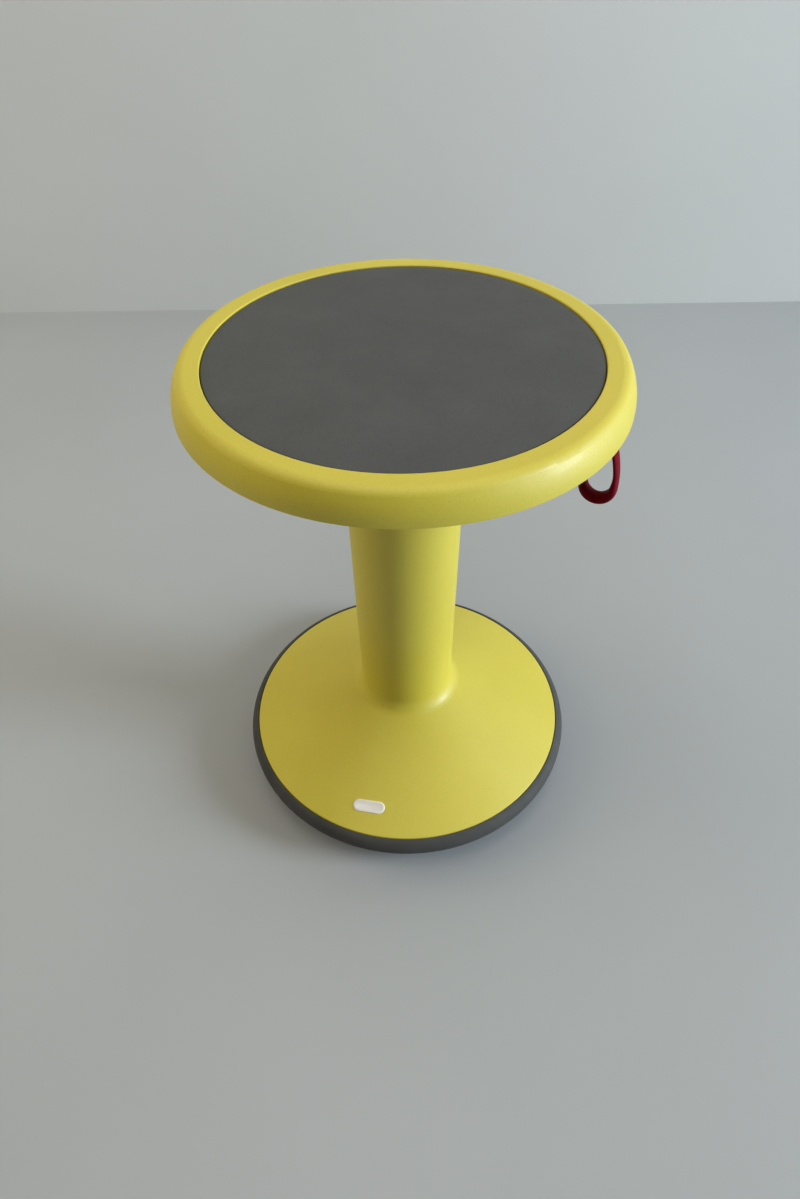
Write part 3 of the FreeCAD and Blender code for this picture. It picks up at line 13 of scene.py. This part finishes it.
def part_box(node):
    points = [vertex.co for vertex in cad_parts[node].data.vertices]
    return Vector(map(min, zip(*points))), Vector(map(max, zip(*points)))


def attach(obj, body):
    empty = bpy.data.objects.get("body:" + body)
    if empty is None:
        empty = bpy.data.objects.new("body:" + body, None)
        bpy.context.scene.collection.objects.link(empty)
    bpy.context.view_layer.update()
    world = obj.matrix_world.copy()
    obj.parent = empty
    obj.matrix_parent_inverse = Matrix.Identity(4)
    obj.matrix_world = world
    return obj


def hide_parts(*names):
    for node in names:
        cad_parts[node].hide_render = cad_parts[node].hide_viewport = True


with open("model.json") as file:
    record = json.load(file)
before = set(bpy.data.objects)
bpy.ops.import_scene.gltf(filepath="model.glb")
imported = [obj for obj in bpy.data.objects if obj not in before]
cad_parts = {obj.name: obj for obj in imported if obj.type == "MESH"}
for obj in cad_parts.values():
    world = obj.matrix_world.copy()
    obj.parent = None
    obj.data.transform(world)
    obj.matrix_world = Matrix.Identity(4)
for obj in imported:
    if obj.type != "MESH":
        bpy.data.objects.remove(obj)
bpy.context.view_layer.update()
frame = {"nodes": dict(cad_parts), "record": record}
scene = bpy.context.scene

MM = 0.001

# The photograph's frame and the camera that fits the stool's outlines in it.
PHOTO_WIDTH = 800
PHOTO_HEIGHT = 1199
FOCAL_PIXELS = 815.2
SENSOR = 36.0
VIEW_TURN = math.radians(27.0)
CAMERA_PITCH = math.radians(45.56)
CAMERA_YAW = math.radians(-0.562)
CAMERA_ROLL = math.radians(-1.083)
CAMERA_BACK = 0.5226
CAMERA_UP = 0.7351

# The soft pad.
PAD_CROWN = 0.8 * MM
PAD_CROWN_RUN = 70.0 * MM
PAD_EDGE_ROUND = 1.1 * MM
PAD_FOOT_ROUND = 1.0 * MM
PAD_GAP = 0.25 * MM
PAD_SIDE_DRAW = 0.25 * MM
PAD_TOP_RINGS = 18
PAD_EDGE_STEPS = 5
PAD_FOOT_STEPS = 3
PAD_EDGE_SLOPE = 80
PAD_SEGMENTS = 192
PAD_UNEVENNESS = 0.12 * MM
PAD_WAVE_SCALE = 28.0

# The pull loop's outline and section.
LOOP_BAND = 3.7 * MM
LOOP_HEEL = 7.6 * MM
LOOP_HEEL_RISE = 15.0 * MM
LOOP_EYE = 2.8 * MM
LOOP_SQUARENESS = 2.3
LOOP_SECTION_POINTS = 28
LOOP_HEEL_STEPS = 14
LOOP_SIDE_STEPS = 16
LOOP_TOP_STEPS = 6

# The bare plate on the base cone.
PLATE_LENGTH = 30.0 * MM
PLATE_WIDTH = 11.0 * MM
PLATE_THICKNESS = 1.0 * MM
PLATE_EDGE_ROUND = 0.35 * MM
PLATE_SINK = 0.4 * MM
PLATE_BORDER = 1.76 * MM
PLATE_BORDER_SLOPE = 0.33 * MM
PLATE_RECESS = 0.12 * MM
PLATE_END_STEPS = 12
PLATE_RADIUS = 132.0 * MM
PLATE_ANGLE = math.radians(-79.1)
PLATE_TURN = math.radians(5.0)
CONE_OUTER = (154.5 * MM, 45.0 * MM)
CONE_INNER = (44.0 * MM, 97.7 * MM)

# The stage, in metres, and the sky's strength as light and as it shows.
WALL_AWAY = 0.996
WALL_HEIGHT = 2.6
STAGE_HALF = 4.0
SKY_LIGHT = 0.03
SKY_SHOWN = 0.20


def turned(x, y, z):
    """A point given as right, away and up from the photograph's view, in the row frame."""
    return Matrix.Rotation(VIEW_TURN, 3, "Z") @ Vector((x, y, z))


class Look:
    """A material with short calls that add shader nodes and join their sockets."""

    def __init__(self, name, **settings):
        self.material = bpy.data.materials.new(name)
        self.material.use_nodes = True
        self.nodes = self.material.node_tree.nodes
        self.links = self.material.node_tree.links
        self.shader = self.nodes["Principled BSDF"]
        self.place = self.nodes.new("ShaderNodeTexCoord").outputs["Object"]
        for socket, value in settings.items():
            self.shader.inputs[socket.replace("_", " ")].default_value = value

    def join(self, source, target):
        self.links.new(source, target)

    def noise(self, scale, detail=2.0, roughness=0.5, stretch=None):
        """A noise pattern, with scale in features for each metre."""
        node = self.nodes.new("ShaderNodeTexNoise")
        node.inputs["Scale"].default_value = scale
        node.inputs["Detail"].default_value = detail
        node.inputs["Roughness"].default_value = roughness
        self.join(self.stretched(stretch), node.inputs["Vector"])
        return node.outputs["Fac"]

    def cells(self, scale):
        """Distances in a pattern of cells, with scale in cells for each metre."""
        node = self.nodes.new("ShaderNodeTexVoronoi")
        node.inputs["Scale"].default_value = scale
        self.join(self.place, node.inputs["Vector"])
        return node.outputs["Distance"]

    def stretched(self, stretch):
        """The place on the piece, or the same with its axes scaled."""
        if stretch is None:
            return self.place
        node = self.nodes.new("ShaderNodeMapping")
        node.inputs["Scale"].default_value = stretch
        self.join(self.place, node.inputs["Vector"])
        return node.outputs["Vector"]

    def ramp(self, source, stops):
        """Colours or greys along a value. Each stop is (position, grey or colour)."""
        node = self.nodes.new("ShaderNodeValToRGB")
        elements = node.color_ramp.elements
        while len(elements) < len(stops):
            elements.new(0.5)
        for element, (position, shade) in zip(elements, stops):
            element.position = position
            colour = shade if isinstance(shade, tuple) else (shade, shade, shade)
            element.color = (*colour, 1.0)
        self.join(source, node.inputs["Fac"])
        return node.outputs["Color"]

    def mix(self, amount, first, second, kind="MIX"):
        """Mixes two colours. amount, first and second are sockets or values."""
        node = self.nodes.new("ShaderNodeMix")
        node.data_type = "RGBA"
        node.blend_type = kind
        for index, value in ((0, amount), (6, first), (7, second)):
            socket = node.inputs[index]
            if isinstance(value, bpy.types.NodeSocket):
                self.join(value, socket)
            elif isinstance(value, tuple):
                socket.default_value = (*value, 1.0)
            else:
                socket.default_value = value
        return node.outputs[2]

    def maths(self, kind, first, second):
        """One step of arithmetic on sockets or values."""
        node = self.nodes.new("ShaderNodeMath")
        node.operation = kind
        for index, value in ((0, first), (1, second)):
            if isinstance(value, bpy.types.NodeSocket):
                self.join(value, node.inputs[index])
            else:
                node.inputs[index].default_value = value
        return node.outputs[0]

    def spread(self, source, low, high):
        """Maps a value from 0 to 1 onto low to high."""
        node = self.nodes.new("ShaderNodeMapRange")
        node.inputs["To Min"].default_value = low
        node.inputs["To Max"].default_value = high
        self.join(source, node.inputs["Value"])
        return node.outputs["Result"]

    def height(self):
        """Height above the floor on the piece at rest, in metres."""
        node = self.nodes.new("ShaderNodeSeparateXYZ")
        self.join(self.place, node.inputs["Vector"])
        return node.outputs["Z"]

    def bump(self, layers):
        """Stacks bumps. Each layer is (pattern, depth in metres, strength)."""
        normal = None
        for pattern, depth, strength in layers:
            node = self.nodes.new("ShaderNodeBump")
            node.inputs["Strength"].default_value = strength
            node.inputs["Distance"].default_value = depth
            self.join(pattern, node.inputs["Height"])
            if normal is not None:
                self.join(normal, node.inputs["Normal"])
            normal = node.outputs["Normal"]
        self.join(normal, self.shader.inputs["Normal"])

    def paint(self, colour):
        self.join(colour, self.shader.inputs["Base Color"])

    def roughen(self, roughness):
        self.join(roughness, self.shader.inputs["Roughness"])


def moulded_yellow(name):
    """Satin polypropylene: faint cloudiness, fine spark-eroded grain, slight handling marks."""
    look = Look(name, IOR=1.49, Specular_IOR_Level=0.75, Coat_Weight=0.09, Coat_Roughness=0.14)
    clouds = look.noise(9.0, 3.0)
    base = look.ramp(clouds, [(0.30, (0.610, 0.500, 0.038)), (0.72, (0.660, 0.548, 0.052))])
    specks = look.ramp(look.noise(900.0, 2.0), [(0.34, 0.93), (0.50, 1.0)])
    look.paint(look.mix(1.0, base, specks, "MULTIPLY"))
    marks = look.noise(60.0, 5.0, 0.65, (1.0, 1.0, 0.35))
    look.roughen(look.spread(marks, 0.46, 0.60))
    look.bump([(look.noise(2400.0, 3.0, 0.6), 0.00012, 0.30), (look.noise(45.0, 2.0), 0.0006, 0.06)])
    return look.material


def soft_rubber(name, dark, light, grain, roughness, dusty_below):
    """Matt rubber or soft plastic with fine grain, and dust where it meets the floor."""
    look = Look(name, IOR=1.52, Specular_IOR_Level=0.4)
    colour = look.ramp(look.noise(35.0, 4.0), [(0.30, dark), (0.75, light)])
    if dusty_below > 0.0:
        level = look.maths("DIVIDE", look.height(), dusty_below)
        broken = look.maths("ADD", level, look.spread(look.noise(70.0, 5.0, 0.7), -0.9, 0.9))
        dust = look.ramp(broken, [(0.35, 1.0), (0.95, 0.0)])
        colour = look.mix(look.maths("MULTIPLY", dust, 0.35), colour, (0.19, 0.18, 0.165))
    look.paint(colour)
    look.roughen(look.spread(look.noise(120.0, 4.0), *roughness))
    look.bump([(look.noise(grain, 3.0, 0.6), 0.00018, 0.40), (look.noise(30.0, 2.0), 0.0008, 0.08)])
    return look.material


def grained_pad(name):
    """Skinned foam: pebble grain, dull mottling and faint pale scuffs from wear."""
    look = Look(name, IOR=1.48, Specular_IOR_Level=0.20)
    mottle = look.noise(22.0, 6.0, 0.62)
    mottle = look.ramp(mottle, [(0.30, (0.077, 0.078, 0.077)), (0.72, (0.088, 0.089, 0.088))])
    pebbles = look.cells(950.0)
    pits = look.ramp(pebbles, [(0.10, 0.88), (0.55, 1.06)])
    colour = look.mix(1.0, mottle, pits, "MULTIPLY")
    wear = look.ramp(look.noise(11.0, 8.0, 0.72), [(0.54, 0.0), (0.80, 0.14)])
    look.paint(look.mix(wear, colour, (0.130, 0.131, 0.126)))
    look.roughen(look.spread(look.noise(48.0, 6.0, 0.7), 0.52, 0.70))
    look.bump([(pebbles, 0.00016, 0.35), (look.noise(1600.0, 2.0), 0.00008, 0.25)])
    return look.material


def crimson_plastic(name):
    """Smooth flexible plastic, deep crimson, a little paler where it is rubbed."""
    look = Look(name, IOR=1.45, Specular_IOR_Level=0.06)
    rubbed = look.noise(160.0, 4.0)
    look.paint(look.ramp(rubbed, [(0.32, (0.135, 0.0003, 0.008)), (0.74, (0.180, 0.0006, 0.012))]))
    look.roughen(look.spread(look.noise(400.0, 4.0), 0.46, 0.60))
    look.bump([(look.noise(1900.0, 3.0), 0.00010, 0.25)])
    return look.material


def metal(name, dark, light, roughness, stretch, scale):
    """Metal with turning or drawing lines along the stretched axes."""
    look = Look(name, Metallic=1.0)
    lines = look.noise(scale, 4.0, 0.6, stretch)
    stains = look.noise(26.0, 5.0, 0.6)
    bright = look.ramp(lines, [(0.30, dark), (0.72, light)])
    look.paint(look.mix(1.0, bright, look.ramp(stains, [(0.30, 0.86), (0.65, 1.0)]), "MULTIPLY"))
    look.roughen(look.spread(stains, *roughness))
    look.bump([(lines, 0.00006, 0.35)])
    return look.material


def coated(name, dark, light, roughness, grain):
    """Paint or powder coat with orange peel."""
    look = Look(name, IOR=1.50)
    look.paint(look.ramp(look.noise(40.0, 4.0), [(0.30, dark), (0.72, light)]))
    look.roughen(look.spread(look.noise(90.0, 4.0), *roughness))
    look.bump([(look.noise(grain, 2.0), 0.00022, 0.35)])
    return look.material


ROUND_LINES = (1.0, 1.0, 14.0)
LONG_LINES = (14.0, 14.0, 1.0)
FLAT_LINES = (1.0, 9.0, 1.0)

# Dark and light colour, roughness from and to, and orange-peel dimples for each metre.
COATINGS = {
    "cast_hub": ((0.030, 0.031, 0.034), (0.048, 0.049, 0.052), (0.55, 0.75), 320.0),
    "black_tube": ((0.006, 0.006, 0.006), (0.012, 0.012, 0.012), (0.32, 0.48), 700.0),
    "white_bush": ((0.62, 0.62, 0.58), (0.70, 0.70, 0.66), (0.38, 0.52), 1300.0),
    "dark_collar": ((0.018, 0.018, 0.018), (0.028, 0.028, 0.027), (0.45, 0.62), 1500.0),
    "dark_sleeve": ((0.022, 0.022, 0.021), (0.034, 0.034, 0.033), (0.34, 0.48), 1600.0),
    "guide_plastic": ((0.016, 0.016, 0.016), (0.024, 0.024, 0.024), (0.45, 0.60), 1300.0),
    "pressed_steel": ((0.009, 0.009, 0.009), (0.017, 0.017, 0.017), (0.38, 0.55), 700.0),
    "lever_steel": ((0.011, 0.011, 0.011), (0.020, 0.020, 0.020), (0.34, 0.50), 700.0),
}

# Dark and light colour, roughness from and to, the lines' direction, and lines for each metre.
METALS = {
    "zinc_screw": ((0.46, 0.46, 0.44), (0.62, 0.62, 0.58), (0.24, 0.42), ROUND_LINES, 420.0),
    "ballast_steel": ((0.075, 0.078, 0.085), (0.145, 0.145, 0.150), (0.45, 0.65), FLAT_LINES, 130.0),
    "bearing_steel": ((0.34, 0.34, 0.36), (0.48, 0.48, 0.50), (0.14, 0.26), ROUND_LINES, 500.0),
    "spring_steel": ((0.060, 0.056, 0.052), (0.11, 0.10, 0.095), (0.28, 0.42), ROUND_LINES, 260.0),
    "chrome_rod": ((0.58, 0.58, 0.60), (0.66, 0.66, 0.68), (0.05, 0.11), LONG_LINES, 300.0),
    "chrome_tube": ((0.54, 0.54, 0.56), (0.63, 0.63, 0.65), (0.07, 0.14), LONG_LINES, 300.0),
    "piston_alloy": ((0.50, 0.50, 0.52), (0.62, 0.62, 0.64), (0.20, 0.34), ROUND_LINES, 420.0),
    "cage_brass": ((0.44, 0.27, 0.070), (0.58, 0.38, 0.115), (0.24, 0.38), ROUND_LINES, 420.0),
    "valve_brass": ((0.42, 0.28, 0.080), (0.55, 0.38, 0.125), (0.20, 0.34), ROUND_LINES, 420.0),
}

# Dark and light colour, grain for each metre, roughness from and to, and the height of the dust.
RUBBERS = {
    "rocker_rubber": ((0.048, 0.047, 0.044), (0.064, 0.062, 0.058), 1100.0, (0.62, 0.85), 0.022),
    "foot_rubber": ((0.013, 0.013, 0.013), (0.022, 0.022, 0.021), 800.0, (0.62, 0.85), 0.0),
    "buffer_rubber": ((0.008, 0.008, 0.008), (0.014, 0.014, 0.014), 900.0, (0.62, 0.85), 0.0),
    "seal_rubber": ((0.006, 0.006, 0.006), (0.010, 0.010, 0.010), 1500.0, (0.30, 0.50), 0.0),
}

looks = {
    "yellow_shell": moulded_yellow("moulded_yellow"),
    "grey_pad": grained_pad("grained_pad"),
    "crimson_loop": crimson_plastic("crimson_plastic"),
}
for finish_maker, table in ((coated, COATINGS), (metal, METALS), (soft_rubber, RUBBERS)):
    for slot_name, values in table.items():
        looks[slot_name] = finish_maker(slot_name, *values)

for subpart in frame["record"]["subparts"]:
    mesh = frame["nodes"][subpart["node"]].data
    mesh.materials.clear()
    mesh.materials.append(looks[subpart["material_slot"]])


def mesh_piece(name, points, faces, slot, body, finish=None):
    """A smooth mesh object that rides on a body and takes a slot's finish or one of its own."""
    mesh = bpy.data.meshes.new(name)
    mesh.from_pydata(points, [], faces)
    mesh.update()
    piece = bpy.data.objects.new(name, mesh)
    scene.collection.objects.link(piece)
    tidy = bmesh.new()
    tidy.from_mesh(mesh)
    bmesh.ops.recalc_face_normals(tidy, faces=tidy.faces)
    tidy.to_mesh(mesh)
    tidy.free()
    for face in mesh.polygons:
        face.use_smooth = True
    mesh.materials.append(finish or looks[slot])
    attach(piece, body)
    return piece


def ring_faces(rings, segments, closed=False):
    """Quads that join rings of points, each of the same number of points."""
    faces = []
    last = rings if closed else rings - 1
    for ring in range(last):
        after = (ring + 1) % rings
        for step in range(segments):
            following = (step + 1) % segments
            faces.append((ring * segments + step, ring * segments + following,
                          after * segments + following, after * segments + step))
    return faces


def quarter(centre_x, centre_z, radius, first, last, steps):
    """Points on an arc in a profile, with angles in degrees."""
    spots = []
    for step in range(steps + 1):
        angle = math.radians(first + (last - first) * step / steps)
        spots.append((centre_x + radius * math.cos(angle), centre_z + radius * math.sin(angle)))
    return spots


def make_pad():
    """The soft pad: level in the middle, falling to a rounded edge, never quite even."""
    low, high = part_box("seat_pad")
    radius = high.x - PAD_GAP
    bottom, top = low.z, high.z
    flat = radius - PAD_CROWN_RUN
    edge_top = top - PAD_CROWN
    profile = []
    for step in range(1, PAD_TOP_RINGS + 1):
        at = (radius - PAD_EDGE_ROUND) * step / PAD_TOP_RINGS
        fall = PAD_CROWN * max(0.0, (at - flat) / (radius - flat)) ** 2
        profile.append((at, top - fall))
    side_high = edge_top - PAD_EDGE_ROUND
    side_low = bottom + PAD_FOOT_ROUND
    profile += quarter(radius - PAD_EDGE_ROUND, side_high, PAD_EDGE_ROUND,
                       PAD_EDGE_SLOPE, 0, PAD_EDGE_STEPS)
    profile.append((radius - PAD_SIDE_DRAW, (side_high + side_low) / 2))
    profile += quarter(radius - PAD_FOOT_ROUND, side_low, PAD_FOOT_ROUND, 0, -90, PAD_FOOT_STEPS)
    profile.append((radius / 2, bottom))
    points = [Vector((0.0, 0.0, top))]
    for at, level in profile:
        for segment in range(PAD_SEGMENTS):
            angle = 2 * math.pi * segment / PAD_SEGMENTS
            spot = Vector((at * math.cos(angle), at * math.sin(angle), level))
            if level > side_high and at < radius - PAD_EDGE_ROUND:
                spot.z += PAD_UNEVENNESS * min(0.0, noise.noise(spot * PAD_WAVE_SCALE))
            points.append(spot)
    points.append(Vector((0.0, 0.0, bottom)))
    faces = [tuple(index + 1 for index in face) for face in ring_faces(len(profile), PAD_SEGMENTS)]
    last_ring = 1 + (len(profile) - 1) * PAD_SEGMENTS
    for segment in range(PAD_SEGMENTS):
        following = (segment + 1) % PAD_SEGMENTS
        faces.append((0, 1 + segment, 1 + following))
        faces.append((len(points) - 1, last_ring + following, last_ring + segment))
    pad = mesh_piece("pad_skin", points, faces, "grey_pad", "seat")
    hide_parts("seat_pad")


def egg_line(half_width, low, top_centre, top_radius):
    """The loop's closed outline as (x, z, heel share), from arcs that run into each other."""
    waist = low + half_width
    rise = top_centre - waist
    side = (half_width ** 2 + rise ** 2 - top_radius ** 2) / (2 * (half_width - top_radius))
    meet = math.degrees(math.atan2(rise, side - half_width))
    spots = quarter(0.0, waist, half_width, -90, 0, LOOP_HEEL_STEPS)
    spots += quarter(half_width - side, waist, side, 0, meet, LOOP_SIDE_STEPS)[1:]
    spots += quarter(0.0, top_centre, top_radius, meet, 90, LOOP_TOP_STEPS)[1:]
    spots += [(-x, z) for x, z in reversed(spots[1:-1])]
    line = []
    for x, z in spots:
        share = max(0.0, min(1.0, (waist + LOOP_HEEL_RISE - z) / (half_width + LOOP_HEEL_RISE)))
        line.append((x, z, share * share * (3 - 2 * share)))
    return line


def make_loop():
    """The pull loop with a rounded section, which thickens inwards to its heel."""
    low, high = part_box("pull_loop")
    centre_x = (low.x + high.x) / 2
    top_radius = LOOP_EYE + LOOP_BAND
    line = egg_line((high.x - low.x) / 2, low.z, high.z - top_radius, top_radius)
    wide = (high.y - low.y) / 2
    points = []
    count = len(line)
    for index, (x, z, share) in enumerate(line):
        before = line[index - 1]
        after = line[(index + 1) % count]
        along = Vector((after[0] - before[0], 0.0, after[1] - before[1])).normalized()
        across = Vector((along.z, 0.0, -along.x))
        half_band = (LOOP_BAND + (LOOP_HEEL - LOOP_BAND) * share) / 2
        for step in range(LOOP_SECTION_POINTS):
            angle = 2 * math.pi * step / LOOP_SECTION_POINTS
            cosine, sine = math.cos(angle), math.sin(angle)
            out = math.copysign(abs(cosine) ** (2 / LOOP_SQUARENESS), cosine) * half_band
            side = math.copysign(abs(sine) ** (2 / LOOP_SQUARENESS), sine) * wide
            points.append(Vector((centre_x + x, side, z)) + across * (out - half_band))
    faces = ring_faces(count, LOOP_SECTION_POINTS, closed=True)
    loop = mesh_piece("loop_skin", points, faces, "crimson_loop", "loop")
    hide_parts("pull_loop")


def capsule(half_length, half_width, steps):
    """The outline of a capsule, centred on the origin."""
    reach = half_length - half_width
    spots = quarter(reach, 0.0, half_width, -90, 90, steps)
    return spots + [(-x, -y) for x, y in spots]


def make_plate():
    """A plain bare plate where the base carries its badge."""
    fall = (CONE_INNER[1] - CONE_OUTER[1]) / (CONE_OUTER[0] - CONE_INNER[0])
    height = CONE_OUTER[1] + (CONE_OUTER[0] - PLATE_RADIUS) * fall
    outwards = Vector((math.cos(PLATE_ANGLE), math.sin(PLATE_ANGLE), 0.0))
    centre = outwards * PLATE_RADIUS + Vector((0.0, 0.0, height))
    normal = (outwards * fall + Vector((0.0, 0.0, 1.0))).normalized()
    turn = Matrix.Rotation(PLATE_TURN, 3, normal)
    along = turn @ Vector((-outwards.y, outwards.x, 0.0))
    up = normal.cross(along)
    curve = 1 / (2 * PLATE_RADIUS)
    layers = [
        (0.0, -PLATE_SINK),
        (0.0, PLATE_THICKNESS - PLATE_EDGE_ROUND),
        (PLATE_EDGE_ROUND * 0.3, PLATE_THICKNESS - PLATE_EDGE_ROUND * 0.3),
        (PLATE_EDGE_ROUND, PLATE_THICKNESS),
        (PLATE_BORDER, PLATE_THICKNESS),
        (PLATE_BORDER + PLATE_BORDER_SLOPE, PLATE_THICKNESS - PLATE_RECESS),
    ]
    points = []
    for inset, level in layers:
        outline = capsule(PLATE_LENGTH / 2 - inset, PLATE_WIDTH / 2 - inset, PLATE_END_STEPS)
        for x, y in outline:
            points.append(centre + along * x + up * y + normal * (level - curve * x * x))
    segments = len(points) // len(layers)
    faces = ring_faces(len(layers), segments)
    first_inner = (len(layers) - 1) * segments
    faces.append(tuple(range(first_inner, first_inner + segments)))
    faces.append(tuple(reversed(range(segments))))
    enamel = coated("cream_enamel", (0.86, 0.81, 0.77), (0.92, 0.87, 0.83), (0.34, 0.48), 1500.0)
    mesh_piece("bare_plate", points, faces, "white_bush", "base", enamel)


make_pad()
make_loop()
make_plate()


def place_camera():
    """The camera at the photograph's viewing angle."""
    data = bpy.data.cameras.new("camera")
    data.sensor_width = SENSOR
    data.lens = FOCAL_PIXELS / PHOTO_HEIGHT * SENSOR
    data.clip_start = 0.01
    camera = bpy.data.objects.new("camera", data)
    scene.collection.objects.link(camera)
    turn = Matrix.Rotation(VIEW_TURN - CAMERA_YAW, 4, "Z")
    tip = Matrix.Rotation(math.pi / 2 - CAMERA_PITCH, 4, "X")
    roll = Matrix.Rotation(CAMERA_ROLL, 4, "Z")
    place = Matrix.Translation(turned(0.0, -CAMERA_BACK, CAMERA_UP))
    camera.matrix_world = place @ turn @ tip @ roll
    scene.camera = camera


def soft_box(name, spot, aim, size, power, colour, in_gloss=True):
    """A large soft lamp. spot and aim are right, away and up from the photograph's view."""
    data = bpy.data.lights.new(name, "AREA")
    data.shape = "RECTANGLE"
    data.size, data.size_y = size
    data.energy = power
    data.color = colour
    lamp = bpy.data.objects.new(name, data)
    scene.collection.objects.link(lamp)
    lamp.location = turned(*spot)
    lamp.visible_glossy = in_gloss
    lamp.rotation_euler = (turned(*aim) - lamp.location).to_track_quat("-Z", "Y").to_euler()


def stage_look(name, dark, light, roughness):
    """Painted floor or wall with faint cloudiness."""
    look = Look(name, IOR=1.45, Specular_IOR_Level=0.3)
    look.paint(look.ramp(look.noise(1.6, 4.0), [(0.30, dark), (0.72, light)]))
    look.roughen(look.spread(look.noise(5.0, 4.0), *roughness))
    look.bump([(look.noise(220.0, 3.0), 0.0004, 0.05)])
    return look.material


def stage_slab(name, corners, material):
    """A flat four-cornered piece of the stage."""
    mesh = bpy.data.meshes.new(name)
    mesh.from_pydata([turned(*corner) for corner in corners], [], [(0, 1, 2, 3)])
    mesh.materials.append(material)
    slab = bpy.data.objects.new(name, mesh)
    scene.collection.objects.link(slab)


def build_stage():
    """Pale floor and wall."""
    floor_look = stage_look("floor_paint", (0.376, 0.386, 0.398), (0.412, 0.424, 0.440), (0.45, 0.60))
    wall_look = stage_look("wall_paint", (0.552, 0.552, 0.540), (0.596, 0.598, 0.586), (0.60, 0.75))
    near = [(-STAGE_HALF, -STAGE_HALF, 0), (STAGE_HALF, -STAGE_HALF, 0)]
    far = [(STAGE_HALF, WALL_AWAY, 0), (-STAGE_HALF, WALL_AWAY, 0)]
    top = [(STAGE_HALF, WALL_AWAY, WALL_HEIGHT), (-STAGE_HALF, WALL_AWAY, WALL_HEIGHT)]
    stage_slab("floor", near + far, floor_look)
    stage_slab("wall", far[::-1] + top, wall_look)


def light_stage():
    """Cool daylight from a window on the right, warmer light from the left and the ceiling."""
    soft_box("main_window", (3.84, -0.92, 1.40), (0.0, 0.0, 0.25), (1.3, 2.3), 210.0, (0.80, 0.915, 1.0))
    soft_box("left_window", (-2.2, 0.5, 1.2), (0.0, 0.0, 0.25), (2.6, 1.8), 37.0, (1.0, 0.91, 0.68),
             in_gloss=False)
    soft_box("ceiling", (0.0, -0.2, 2.4), (0.0, 0.0, 0.0), (2.2, 2.2), 23.5, (1.0, 0.94, 0.82))


def light_sky():
    """A dim sky, which shows pale where the stage ends and in gloss and glass."""
    world = bpy.data.worlds.new("sky")
    world.use_nodes = True
    nodes = world.node_tree.nodes
    links = world.node_tree.links
    rays = nodes.new("ShaderNodeLightPath")
    shown = rays.outputs["Is Camera Ray"]
    for kind in ("Is Glossy Ray", "Is Transmission Ray"):
        either = nodes.new("ShaderNodeMath")
        either.operation = "MAXIMUM"
        links.new(shown, either.inputs[0])
        links.new(rays.outputs[kind], either.inputs[1])
        shown = either.outputs[0]
    strength = nodes.new("ShaderNodeMapRange")
    strength.inputs["To Min"].default_value = SKY_LIGHT
    strength.inputs["To Max"].default_value = SKY_SHOWN
    links.new(shown, strength.inputs["Value"])
    background = nodes["Background"]
    background.inputs["Color"].default_value = (0.98, 0.99, 1.0, 1.0)
    links.new(strength.outputs["Result"], background.inputs["Strength"])
    scene.world = world


place_camera()
build_stage()
light_stage()
light_sky()
scene.view_settings.view_transform = "Standard"
